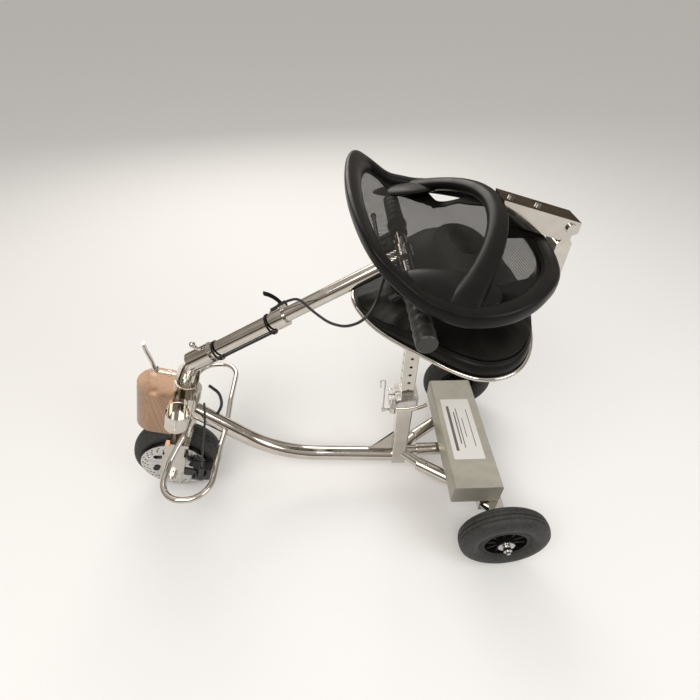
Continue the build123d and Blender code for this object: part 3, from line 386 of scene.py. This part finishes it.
# %% Grip rubber and cable jacket
rubber, rubber_tree, rubber_shader = new_finish("Grip rubber", (0.016, 0.015, 0.014), 0.0, 0.42)
rubber_grain = use_group(rubber_tree, grain_group, Scale=700.0, Depth=0.25, Distance=0.0003)
rubber_tree.links.new(rubber_grain.outputs["Normal"], rubber_shader.inputs["Normal"])
tint(rubber_tree, rubber_shader, rubber_grain.outputs["Mask"], (0.010, 0.010, 0.009), (0.034, 0.032, 0.029))
jacket, jacket_tree, jacket_shader = new_finish("Cable jacket", (0.012, 0.012, 0.012), 0.0, 0.35)
jacket_grain = use_group(jacket_tree, grain_group, Scale=1100.0, Depth=0.12, Distance=0.0002)
jacket_tree.links.new(jacket_grain.outputs["Normal"], jacket_shader.inputs["Normal"])
tint(jacket_tree, jacket_shader, jacket_grain.outputs["Mask"], (0.008, 0.008, 0.008), (0.022, 0.022, 0.022))
print("finishes", rubber.name, jacket.name)

# %% [markdown]
# ### Seat vinyl
# The seat is covered in soft black vinyl with a pebbled grain. Voronoi cells give the pebbles, and
# a broad noise adds the slow waves of a skin pulled over foam.

# %% Seat vinyl
vinyl, vinyl_tree, vinyl_shader = new_finish(
    "Seat vinyl",
    (0.007, 0.006, 0.005),
    0.0,
    0.4,
    Specular_IOR_Level=0.14,
    Sheen_Weight=0.01,
    Sheen_Roughness=0.4,
)
vinyl_place = add_node(vinyl_tree, "ShaderNodeTexCoord")
pebbles = add_node(vinyl_tree, "ShaderNodeTexVoronoi", Scale=620.0, Randomness=0.9)
pebbles.feature = "SMOOTH_F1"
waves = add_node(vinyl_tree, "ShaderNodeTexNoise", Scale=26.0, Detail=3.0)
pebble_bump = add_node(vinyl_tree, "ShaderNodeBump", Strength=0.32, Distance=0.0004)
wave_bump = add_node(vinyl_tree, "ShaderNodeBump", Strength=0.25, Distance=0.004)
vinyl_tree.links.new(vinyl_place.outputs["Object"], pebbles.inputs["Vector"])
vinyl_tree.links.new(vinyl_place.outputs["Object"], waves.inputs["Vector"])
vinyl_tree.links.new(waves.outputs["Fac"], wave_bump.inputs["Height"])
vinyl_tree.links.new(pebbles.outputs["Distance"], pebble_bump.inputs["Height"])
vinyl_tree.links.new(wave_bump.outputs["Normal"], pebble_bump.inputs["Normal"])
vinyl_tree.links.new(pebble_bump.outputs["Normal"], vinyl_shader.inputs["Normal"])
vinyl_haze = use_group(vinyl_tree, haze_group, Scale=16.0, Clean=0.32, Dull=0.5)
vinyl_tree.links.new(vinyl_haze.outputs["Roughness"], vinyl_shader.inputs["Roughness"])
tint(vinyl_tree, vinyl_shader, waves.outputs["Fac"], (0.004, 0.004, 0.0035), (0.010, 0.009, 0.007))
print("finish", vinyl.name)

# %% [markdown]
# ### Open net
# The backrest's net is knitted with small open cells. Two sets of slanted threads are drawn by
# waves over the piece's own coordinates, and where neither thread runs the net lets light through.

# %% Open net
net_pitch = 0.0044
net_slant = 1.7
net, net_tree, net_shader = new_finish("Open net", (0.012, 0.011, 0.010), 0.0, 0.6, Specular_IOR_Level=0.25)
net_place = add_node(net_tree, "ShaderNodeTexCoord")
net_split = add_node(net_tree, "ShaderNodeSeparateXYZ")
net_tree.links.new(net_place.outputs["Object"], net_split.inputs["Vector"])
threads = []
for slant in (1.0, -1.0):
    lean_over = add_node(net_tree, "ShaderNodeMath", operation="MULTIPLY_ADD")
    lean_over.inputs[1].default_value = slant * net_slant
    across = add_node(net_tree, "ShaderNodeMath", operation="MULTIPLY")
    across.inputs[1].default_value = pi / net_pitch
    wave = add_node(net_tree, "ShaderNodeMath", operation="SINE")
    rise = add_node(net_tree, "ShaderNodeMath", operation="ABSOLUTE")
    net_tree.links.new(net_split.outputs["X"], lean_over.inputs[0])
    net_tree.links.new(net_split.outputs["Y"], lean_over.inputs[2])
    net_tree.links.new(lean_over.outputs["Value"], across.inputs[0])
    net_tree.links.new(across.outputs["Value"], wave.inputs[0])
    net_tree.links.new(wave.outputs["Value"], rise.inputs[0])
    threads.append(rise)
thinner = add_node(net_tree, "ShaderNodeMath", operation="MINIMUM")
cover = add_node(net_tree, "ShaderNodeMapRange", From_Min=0.80, From_Max=0.72, To_Min=0.0, To_Max=1.0)
round_up = add_node(net_tree, "ShaderNodeBump", Strength=0.5, Distance=0.0006)
open_light = add_node(net_tree, "ShaderNodeBsdfTransparent")
through = add_node(net_tree, "ShaderNodeMixShader")
net_tree.links.new(threads[0].outputs["Value"], thinner.inputs[0])
net_tree.links.new(threads[1].outputs["Value"], thinner.inputs[1])
net_tree.links.new(thinner.outputs["Value"], cover.inputs["Value"])
net_tree.links.new(cover.outputs["Result"], round_up.inputs["Height"])
net_tree.links.new(round_up.outputs["Normal"], net_shader.inputs["Normal"])
net_tree.links.new(cover.outputs["Result"], through.inputs["Fac"])
net_tree.links.new(open_light.outputs["BSDF"], through.inputs[1])
net_tree.links.new(net_shader.outputs["BSDF"], through.inputs[2])
net_tree.links.new(through.outputs["Shader"], net_tree.nodes["Material Output"].inputs["Surface"])
print("finish", net.name)

# %% [markdown]
# ### Label film
# The box carries a printed label. No words are drawn: the film has plain bars of different
# lengths and tones, which read as print from a distance and belong to no maker.

# %% Label film
film, film_tree, film_shader = new_finish("Label film", (0.62, 0.61, 0.58), 0.0, 0.3, Coat_Weight=0.3)
film_place = add_node(film_tree, "ShaderNodeTexCoord")
film_map = add_node(film_tree, "ShaderNodeMapping")
film_map.inputs["Location"].default_value = (-label_low.x, -(label_low.y + label_high.y) / 2, 0.0)
film_split = add_node(film_tree, "ShaderNodeSeparateXYZ")
film_tree.links.new(film_place.outputs["Object"], film_map.inputs["Vector"])
film_tree.links.new(film_map.outputs["Vector"], film_split.inputs["Vector"])
bars = (
    (0.060, 0.0035, 0.070),
    (0.047, 0.0016, 0.050),
    (0.040, 0.0012, 0.062),
    (0.030, 0.0010, 0.030),
    (0.014, 0.0010, 0.058),
)
marked = None
for bar_place, half_height, half_length in bars:
    off = add_node(film_tree, "ShaderNodeMath", operation="COMPARE")
    off.inputs[1].default_value = bar_place
    off.inputs[2].default_value = half_height
    reach = add_node(film_tree, "ShaderNodeMath", operation="COMPARE")
    reach.inputs[1].default_value = 0.0
    reach.inputs[2].default_value = half_length
    both = add_node(film_tree, "ShaderNodeMath", operation="MULTIPLY")
    film_tree.links.new(film_split.outputs["X"], off.inputs[0])
    film_tree.links.new(film_split.outputs["Y"], reach.inputs[0])
    film_tree.links.new(off.outputs["Value"], both.inputs[0])
    film_tree.links.new(reach.outputs["Value"], both.inputs[1])
    if marked is None:
        marked = both
    else:
        either = add_node(film_tree, "ShaderNodeMath", operation="MAXIMUM")
        film_tree.links.new(marked.outputs["Value"], either.inputs[0])
        film_tree.links.new(both.outputs["Value"], either.inputs[1])
        marked = either
tint(film_tree, film_shader, marked.outputs["Value"], (0.62, 0.61, 0.58), (0.10, 0.09, 0.09), 0.2, 0.8)
print("finish", film.name, "with", len(bars), "bars")

# %% [markdown]
# ## Dressing the frame
# Each frame piece gets its finish by name. A piece keeps its own mesh, and only the material in
# its slot changes.

# %% Dress the frame
dress = {
    "Polished tube": [
        "main_frame", "rear_carrier", "footrests", "fork", "fold_yoke", "tiller_knuckle",
        "seat_post", "back_support", "back_hinge_channel", "handlebar", "upper_tiller",
        "lower_tiller", "seat_pan", "seat_trim", "accessory_cup", "telescope_collar", "fold_lever",
        "seat_clamp_lever",
    ],
    "Turned steel": [
        "left_axle_pin", "right_axle_pin", "left_rear_bearings", "right_rear_bearings",
        "front_axle", "headset_bearings", "fold_pin", "disc_rotor", "rotor_bolts", "seat_lock_pin",
        "channel_screws", "motor_stator", "seat_post_collar",
    ],
    "Brushed can": [
        "controller_can",
    ],
    "Moulded black": [
        "back_frame", "left_rear_rim", "right_rear_rim",
    ],
    "Black plastic": [
        "control_console", "telescope_lever", "cable_ties", "thumb_throttle", "brake_perch",
        "battery_pack",
    ],
    "Black enamel": [
        "brake_caliper", "caliper_arm", "brake_lever", "hub_motor_shell", "hub_motor_cover",
    ],
    "Champagne anodised": [
        "battery_case",
    ],
    "Grip rubber": [
        "left_grip", "right_grip",
    ],
    "Cable jacket": [
        "loop_cable", "fork_cable", "power_cable", "tiller_cable",
    ],
    "Seat vinyl": [
        "seat_cushion", "lumbar_pad",
    ],
    "Open net": [
        "back_mesh",
    ],
    "Label film": [
        "battery_label",
    ],
    "Tyre rubber front": [
        "front_tyre",
    ],
    "Tyre rubber left rear": [
        "left_rear_tyre",
    ],
    "Tyre rubber right rear": [
        "right_rear_tyre",
    ],
}
sharp_angle = radians(32)
for finish, names in dress.items():
    for name in names:
        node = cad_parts[name]
        for index in range(len(node.material_slots)):
            node.material_slots[index].link = "DATA"
            node.data.materials[index] = finishes[finish]
        if not node.material_slots:
            node.data.materials.append(finishes[finish])
        make_active(node)
        bpy.ops.object.shade_smooth_by_angle(angle=sharp_angle)
deselect()
print("dressed", sum(len(names) for names in dress.values()), "pieces")

# %% [markdown]
# ## Seat
# The seat is a saddle-shaped pan with a padded cushion. Its outline runs from a rounded nose to a
# wide back, and everything on it follows that outline: the steel trim, the boxed side of the
# cover, the seam and the crowned top.

# %% Smooth closed outline from its left half
seat_half = [
    (0.331, 0.0), (0.298, 0.092), (0.222, 0.171), (0.148, 0.222), (0.080, 0.202), (0.034, 0.120),
    (0.020, 0.0),
]


def closed_curve(half, count):
    """Points round a closed outline, given its left half from front to back."""
    loop = half + [(x, -y) for x, y in reversed(half[1:-1])]
    total = len(loop)
    points = []
    for n in range(count):
        place = n * total / count
        i = int(place)
        t = place - i
        a, b, c, d = (Vector(loop[(i + k) % total]) for k in (-1, 0, 1, 2))
        curve = 2 * b + (c - a) * t
        curve += (2 * a - 5 * b + 4 * c - d) * t * t + (3 * b - a - 3 * c + d) * t ** 3
        points.append(0.5 * curve)
    return [Vector((rear_x + p.x, p.y)) for p in points]


def outward(points, n):
    """Outward direction of a closed outline at one of its points."""
    along = points[(n + 1) % len(points)] - points[n - 1]
    return Vector((along.y, -along.x)).normalized()


def ring_mesh(name, rings, cap_first=False, cap_last=False):
    """Skin rings of points into one mesh, closed round each ring."""
    count = len(rings[0])
    mesh = bpy.data.meshes.new(name)
    faces = []
    for r in range(len(rings) - 1):
        for n in range(count):
            m = (n + 1) % count
            faces.append((r * count + n, r * count + m, (r + 1) * count + m, (r + 1) * count + n))
    if cap_first:
        faces.append(tuple(reversed(range(count))))
    if cap_last:
        faces.append(tuple(range((len(rings) - 1) * count, len(rings) * count)))
    mesh.from_pydata([tuple(p) for ring in rings for p in ring], [], faces)
    piece = bpy.data.objects.new(name, mesh)
    bpy.context.collection.objects.link(piece)
    make_active(piece)
    bpy.ops.object.mode_set(mode="EDIT")
    bpy.ops.mesh.select_all(action="SELECT")
    bpy.ops.mesh.normals_make_consistent(inside=False)
    bpy.ops.object.mode_set(mode="OBJECT")
    bpy.ops.object.shade_smooth()
    return piece


seat_line = closed_curve(seat_half, 144)
print("seat outline", len(seat_line), "points")

# %% Height of the cushion's top along the seat
crown_stations = [
    (0.02, 0.628), (0.07, 0.634), (0.15, 0.631), (0.212, 0.624), (0.26, 0.612), (0.30, 0.602), (0.335, 0.592),
]
seam_height = 0.606
seam_below_crown = 0.010
cover_gap = 0.0045


def along_stations(stations, x):
    """Smooth value between stations placed along the machine."""
    x = x - rear_x
    if x <= stations[0][0]:
        return stations[0][1]
    for (x0, z0), (x1, z1) in zip(stations, stations[1:]):
        if x <= x1:
            t = (x - x0) / (x1 - x0)
            return z0 + (z1 - z0) * t * t * (3 - 2 * t)
    return stations[-1][1]


# %% [markdown]
# The cushion is skinned from rings: up the boxed side, in over a seam that pulls the cover tight,
# and across the crowned top. Small folds fan out from the seam, as they do where vinyl is drawn
# over a foam edge.

# %% Seat cushion
middle = Vector((rear_x + 0.165, 0.0))
side_profile = [
    (-0.020, 0.000), (-0.005, 0.000), (0.000, 0.004), (0.003, 0.30), (0.003, 0.62), (0.000, 0.90),
    (-0.003, 0.98), (-0.0055, 1.00), (-0.006, 1.05),
]
top_shares = (0.97, 0.94, 0.88, 0.8, 0.7, 0.58, 0.44, 0.3, 0.15, 0.04)
fold_depth = 0.0011
hollow_depth = 0.004
cushion_rings = []
for out, up in side_profile:
    ring = []
    for n, point in enumerate(seat_line):
        normal = outward(seat_line, n)
        top = along_stations(crown_stations, point.x)
        seam = min(seam_height, top - seam_below_crown)
        edge = point + normal * (out - cover_gap)
        ring.append(Vector((edge.x, edge.y, cushion_bottom + (seam - cushion_bottom) * up)))
    cushion_rings.append(ring)
for share in top_shares:
    ring = []
    for n, point in enumerate(seat_line):
        place = middle + (point - middle) * share * 0.985
        top = along_stations(crown_stations, place.x)
        seam = min(seam_height, along_stations(crown_stations, point.x) - seam_below_crown)
        rise = (1 - share ** 5) ** 0.62
        fold = fold_depth * sin(n * 1.31) * sin(n * 0.47) * max(0.0, share - 0.6) / 0.4
        hollow = hollow_depth * (1 - share) * cos(min(1.0, abs(place.y) / 0.16) * pi / 2)
        ring.append(Vector((place.x, place.y, seam + (top - seam) * rise + fold - hollow)))
    cushion_rings.append(ring)
cushion = ring_mesh("Padded_seat", cushion_rings, cap_first=True, cap_last=True)
cushion.data.materials.append(vinyl)
settle(cushion, "Padded_seat", 50)
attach(cushion, "seat")
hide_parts("seat_cushion")
print("cushion faces", len(cushion.data.polygons))


# %% Tubes along an outline: the seam's cord and the steel trim
def outline_tube(name, places, radius, finish, body, closed=True):
    """Round tube along points, as a bevelled curve turned into a mesh."""
    curve = bpy.data.curves.new(name, "CURVE")
    curve.dimensions = "3D"
    curve.bevel_depth = radius
    curve.bevel_resolution = 5
    curve.use_fill_caps = not closed
    spline = curve.splines.new("POLY")
    spline.points.add(len(places) - 1)
    for spot, place in zip(spline.points, places):
        spot.co = (*place, 1.0)
    spline.use_cyclic_u = closed
    piece = bpy.data.objects.new(name, curve)
    bpy.context.collection.objects.link(piece)
    make_active(piece)
    bpy.ops.object.convert(target="MESH")
    piece = bpy.context.object
    piece.data.materials.append(finish)
    settle(piece, name, 50)
    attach(piece, body)
    return piece


seam_ring = []
for n, point in enumerate(seat_line):
    top = along_stations(crown_stations, point.x)
    edge = point + outward(seat_line, n) * -0.0078
    seam_ring.append(Vector((edge.x, edge.y, min(seam_height, top - seam_below_crown) + 0.0008)))
outline_tube("Seat_seam_cord", seam_ring, 0.0016, vinyl, "seat")
trim_z = (Vector(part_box("seat_trim")[0]).z + Vector(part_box("seat_trim")[1]).z) / 2
trim_ring = [Vector((p.x, p.y, trim_z)) for p in seat_line]
trim = outline_tube("Seat_steel_trim", trim_ring, 0.004, steel, "seat")
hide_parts("seat_trim")
print("seat trim", len(trim.data.polygons), "faces")

# %% [markdown]
# ## Backrest
# The backrest is one black moulding: a wide hoop with rounded edges that curls up at its front,
# a border that slopes in to the net, and an arched bar across the middle. An eye-shaped gap is
# left between hoop and border on each side.

# %% Backrest outline and curve
back_half = [
    (0.347, 0.0), (0.338, 0.120), (0.312, 0.196), (0.253, 0.224), (0.190, 0.240), (0.129, 0.230),
    (0.070, 0.190), (0.022, 0.118), (0.004, 0.0),
]
back_stations = [(-0.02, 0.704), (0.06, 0.716), (0.129, 0.713), (0.197, 0.715), (0.253, 0.732), (0.30, 0.772),
                 (0.33, 0.799), (0.352, 0.812)]
back_line = closed_curve(back_half, 176)


def back_height(x):
    """Height of the backrest's upper face along the machine, by straight runs eased together."""
    total, weight = 0.0, 0.0
    for step in (-0.012, -0.006, 0.0, 0.006, 0.012):
        spot = x - rear_x + step
        value = back_stations[-1][1]
        for (x0, z0), (x1, z1) in zip(back_stations, back_stations[1:]):
            if spot <= x1:
                value = z0 + (z1 - z0) * max(0.0, (spot - x0) / (x1 - x0))
                break
        total += value
        weight += 1
    return total / weight


def inset_place(n, inset, drop):
    """Point inside the backrest's outline, below its upper face."""
    point = back_line[n] - outward(back_line, n) * inset
    return Vector((point.x, point.y, back_height(point.x) - drop))


# %% Moulded hoop
hoop_width = 0.028
hoop_depth = 0.026
section = []
for k in range(20):
    turn = 2 * pi * k / 20
    bulge = 2.0 / 3.4
    across = abs(cos(turn)) ** bulge * (1 if cos(turn) >= 0 else -1)
    upward = abs(sin(turn)) ** bulge * (1 if sin(turn) >= 0 else -1)
    section.append((hoop_width / 2 * (1 - across), hoop_depth / 2 * (1 - upward)))
hoop_rings = []
for inset, drop in section + section[:1]:
    hoop_rings.append([inset_place(n, inset, drop) for n in range(len(back_line))])
hoop = ring_mesh("Backrest_hoop", hoop_rings)
weld = hoop.modifiers.new("Close", "WELD")
weld.merge_threshold = 0.00005
apply_all(hoop)
hoop.data.materials.append(moulded)
settle(hoop, "Backrest_hoop", 60)
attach(hoop, "backrest")
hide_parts("back_frame")
print("hoop faces", len(hoop.data.polygons))


# %% Sloping border with an eye-shaped gap on each side
border_stations = [
    (0.0, 0.006), (0.022, 0.012), (0.068, 0.040), (0.100, 0.080), (0.130, 0.094), (0.175, 0.082),
    (0.215, 0.070), (0.250, 0.054), (0.285, 0.036), (0.312, 0.020), (0.335, 0.006), (0.350, 0.004),
]
eye_place = 0.124
eye_half_length = 0.048
eye_width = 0.060
border_start = 0.021


def eye_share(n):
    """How far the gap beside the hoop is open at a point of the outline, from 0 to 1."""
    x = back_line[n].x - rear_x
    if abs(back_line[n].y) < 0.12:
        return 0.0
    return max(0.0, 1 - ((x - eye_place) / eye_half_length) ** 2) ** 0.7


def border_width(n):
    """Width of the border at a point of the outline: broad at the sides, narrow at the ends."""
    return along_stations(border_stations, back_line[n].x)


border_rings = []
for share, drop in ((0.0, 0.0155), (0.5, 0.0150), (1.0, 0.0150), (1.0, 0.0180), (0.5, 0.0185), (0.0, 0.0185)):
    ring = []
    for n in range(len(back_line)):
        start = border_start + eye_width * eye_share(n)
        ring.append(inset_place(n, start + (border_width(n) + border_start - start) * share, drop))
    border_rings.append(ring)
border_rings.append(border_rings[0])
border = ring_mesh("Backrest_border", border_rings)
weld = border.modifiers.new("Close", "WELD")
weld.merge_threshold = 0.00005
apply_all(border)
border.data.materials.append(moulded)
settle(border, "Backrest_border", 50)
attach(border, "backrest")
print("border faces", len(border.data.polygons))

# %% Stretched net
net_rings = []
for share in (1.0, 0.93, 0.85, 0.75, 0.63, 0.5, 0.36, 0.22, 0.1):
    ring = []
    for n in range(len(back_line)):
        rim = inset_place(n, border_start + border_width(n) - 0.004, 0.0165)
        centre_x = rear_x + 0.165
        x = centre_x + (rim.x - centre_x) * share
        y = rim.y * share
        ring.append(Vector((x, y, back_height(x) - 0.0165 - 0.002 * (1 - share * share))))
    net_rings.append(ring)
net_piece = ring_mesh("Backrest_net", net_rings, cap_last=True)
net_piece.data.materials.append(net)
settle(net_piece, "Backrest_net", 60)
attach(net_piece, "backrest")
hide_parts("back_mesh")

# %% [markdown]
# The arched bar swells where it meets the hoop. It is a tube skinned along an arc, with a radius
# that grows at both ends, and a block below the steel channel carries it.

# %% Arched bar
arch_side = Vector((rear_x + 0.203, 0.220, 0.703))
arch_top = Vector((rear_x + 0.107, 0.0, 0.763))
arch_steps = 56
arch_sides = 24
arch_half_thick = 0.0115
arch_line = []
for k in range(arch_steps + 1):
    turn = -1 + 2 * k / arch_steps
    bow = 1 - turn * turn
    arch_line.append(Vector((arch_side.x + (arch_top.x - arch_side.x) * bow, arch_side.y * turn,
                             arch_side.z + (arch_top.z - arch_side.z) * bow ** 1.05)))
arch_sections = []
for k, centre in enumerate(arch_line):
    heading = (arch_line[min(k + 1, arch_steps)] - arch_line[max(k - 1, 0)]).normalized()
    side_way = heading.cross(Vector((0, 0, 1))).normalized()
    up_way = side_way.cross(heading).normalized()
    end_share = abs(-1 + 2 * k / arch_steps) ** 5
    half_wide = 0.0160 + 0.012 * end_share
    arch_section = []
    for j in range(arch_sides):
        around = 2 * pi * j / arch_sides
        sideways = side_way * half_wide * cos(around)
        arch_section.append(centre + sideways + up_way * arch_half_thick * sin(around))
    arch_sections.append(arch_section)
arch = ring_mesh("Backrest_arch", arch_sections, cap_first=True, cap_last=True)
arch.data.materials.append(moulded)
settle(arch, "Backrest_arch", 50)
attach(arch, "backrest")
print("arch faces", len(arch.data.polygons))

# %% Shoulders where the arch runs into the hoop
for side, y_side in (("left", 1), ("right", -1)):
    deselect()
    bpy.ops.mesh.primitive_uv_sphere_add(segments=48, ring_count=24, radius=1.0)
    shoulder = bpy.context.object
    shoulder.scale = (0.078, 0.040, 0.008)
    shoulder.rotation_euler = (radians(-10) * y_side, 0.0, radians(-16) * y_side)
    shoulder.location = (rear_x + 0.212, 0.178 * y_side, 0.714)
    shoulder.data.materials.append(moulded)
    settle(shoulder, f"Backrest_shoulder_{side}", 60)
    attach(shoulder, "backrest")
print("shoulders placed")

# %% Block under the channel
deselect()
bpy.ops.mesh.primitive_cube_add(size=1, location=(rear_x + 0.052, 0.0, 0.7225))
saddle = bpy.context.object
saddle.scale = (0.060, 0.038, 0.030)
bpy.ops.object.transform_apply(location=True, rotation=True, scale=True)
bpy.ops.object.mode_set(mode="EDIT")
bpy.ops.mesh.select_all(action="DESELECT")
pick_faces(saddle, lambda centre, normal: normal.x > 0.9)
bpy.ops.mesh.extrude_region_move(TRANSFORM_OT_translate={"value": (0.012, 0.0, 0.026)})
pick_faces(saddle, lambda centre, normal: normal.z < -0.9)
bpy.ops.mesh.inset(thickness=0.006, depth=0.004)
bpy.ops.mesh.select_all(action="SELECT")
bpy.ops.mesh.bevel(offset=0.003, segments=3, affect="EDGES")
bpy.ops.object.mode_set(mode="OBJECT")
saddle.data.materials.append(moulded)
settle(saddle, "Backrest_saddle_block", 40)
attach(saddle, "backrest")
print("block faces", len(saddle.data.polygons))

# %% [markdown]
# A soft lumbar pad lies under the net. It is a flattened ball whose upper and lower halves bulge and
# meet at a thin edge.

# %% Lumbar pad
pad_low, pad_high = (Vector(corner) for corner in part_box("lumbar_pad"))
deselect()
pad_middle = (pad_low + pad_high) / 2
bpy.ops.mesh.primitive_uv_sphere_add(segments=48, ring_count=24, radius=1.0, location=pad_middle)
pad = bpy.context.object
pad.scale = (pad_high - pad_low) / 2
bpy.ops.object.transform_apply(location=True, rotation=True, scale=True)
for vertex in pad.data.vertices:
    flat = Vector((vertex.co.x - pad_middle.x, vertex.co.y - pad_middle.y))
    share = Vector((flat.x / (pad_high.x - pad_low.x), flat.y / (pad_high.y - pad_low.y)))
    reach = min(1.0, share.length * 2)
    height = vertex.co.z - pad_middle.z
    fullness = (1 - reach ** 4) ** 0.5
    limit = (pad_high.z - pad_low.z) / 2
    vertex.co.z = pad_middle.z + (limit * fullness if height > 0 else -limit * fullness)
pad.data.materials.append(vinyl)
settle(pad, "Soft_lumbar_pad", 60)
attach(pad, "backrest")
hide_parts("lumbar_pad")
print("pad faces", len(pad.data.polygons))

# %% [markdown]
# ## Floor, light and camera
# The floor is pale and plain. Polished tubes need dark and light shapes to reflect, so the sky is
# a soft gradient with a darker band near the horizon, and two large panels give long highlights.

# %% Floor
deselect()
bpy.ops.mesh.primitive_plane_add(size=120, location=(0, 0, 0))
floor = bpy.context.object
floor.name = "Studio_floor"
paper = bpy.data.materials.new("Studio paper")
paper.use_nodes = True
paper_shader = paper.node_tree.nodes["Principled BSDF"]
paper_shader.inputs["Base Color"].default_value = (0.80, 0.80, 0.795, 1.0)
paper_shader.inputs["Roughness"].default_value = 0.9
floor.data.materials.append(paper)

# %% Light
scene = bpy.context.scene
world = scene.world or bpy.data.worlds.new("Studio")
scene.world = world
world.use_nodes = True
sky = world.node_tree
for node in list(sky.nodes):
    sky.nodes.remove(node)
sky_out = sky.nodes.new("ShaderNodeOutputWorld")
sky_light = sky.nodes.new("ShaderNodeBackground")
sky_place = sky.nodes.new("ShaderNodeTexCoord")
sky_split = sky.nodes.new("ShaderNodeSeparateXYZ")
sky_ramp = sky.nodes.new("ShaderNodeValToRGB")
sky_ramp.color_ramp.elements[0].position = 0.0
sky_ramp.color_ramp.elements[0].color = (0.10, 0.075, 0.055, 1.0)
sky_ramp.color_ramp.elements[1].position = 0.95
sky_ramp.color_ramp.elements[1].color = (1.0, 0.98, 0.95, 1.0)
sky_stops = (
    (0.16, (0.13, 0.10, 0.07, 1.0)),
    (0.24, (0.75, 0.68, 0.60, 1.0)),
    (0.42, (0.42, 0.37, 0.32, 1.0)),
    (0.55, (0.80, 0.76, 0.70, 1.0)),
)
for position, colour in sky_stops:
    stop = sky_ramp.color_ramp.elements.new(position)
    stop.color = colour
sky_light.inputs["Strength"].default_value = 0.7
sky.links.new(sky_place.outputs["Generated"], sky_split.inputs["Vector"])
sky.links.new(sky_split.outputs["Z"], sky_ramp.inputs["Fac"])
sky.links.new(sky_ramp.outputs["Color"], sky_light.inputs["Color"])
sky.links.new(sky_light.outputs["Background"], sky_out.inputs["Surface"])


def soft_panel(name, place, target, width, power, colour):
    """Large soft light that faces a target."""
    data = bpy.data.lights.new(name, "AREA")
    data.shape = "RECTANGLE"
    data.size = width
    data.size_y = width * 0.6
    data.energy = power
    data.color = colour
    lamp = bpy.data.objects.new(name, data)
    bpy.context.collection.objects.link(lamp)
    lamp.location = place
    lamp.rotation_euler = (Vector(target) - Vector(place)).to_track_quat("-Z", "Y").to_euler()
    return lamp


soft_panel("Key_panel", (0.8, 1.6, 2.6), (0, 0, 0.4), 2.0, 46, (1.0, 0.97, 0.93))
soft_panel("Fill_panel", (-2.0, 1.2, 1.8), (0, 0, 0.4), 1.6, 20, (0.95, 0.97, 1.0))
soft_panel("Back_panel", (0.4, -2.2, 1.8), (0, 0, 0.5), 2.0, 26, (1.0, 0.96, 0.9))
scene.view_settings.view_transform = "Standard"
scene.view_settings.exposure = 0.0
print("lights placed")

# %% Camera
azimuth, pitch, roll = radians(-2.43), radians(41.72), radians(0.67)
ahead = Vector((sin(azimuth) * cos(pitch), -cos(azimuth) * cos(pitch), -sin(pitch)))
right = Vector((-cos(azimuth), -sin(azimuth), 0.0))
upward = right.cross(ahead)
right_rolled = right * cos(roll) + upward * sin(roll)
up_rolled = upward * cos(roll) - right * sin(roll)
camera_data = bpy.data.cameras.new("Studio_camera")
camera_data.sensor_width = 36.0
camera_data.lens = 22.642
camera = bpy.data.objects.new("Studio_camera", camera_data)
bpy.context.collection.objects.link(camera)
turn = Matrix((right_rolled, up_rolled, -ahead)).transposed()
camera.matrix_world = Matrix.Translation(Vector((-0.02436, 0.68447, 1.05604))) @ turn.to_4x4()
scene.camera = camera
print("camera at", [round(v, 3) for v in camera.location])

# %% Leave nothing selected
deselect()
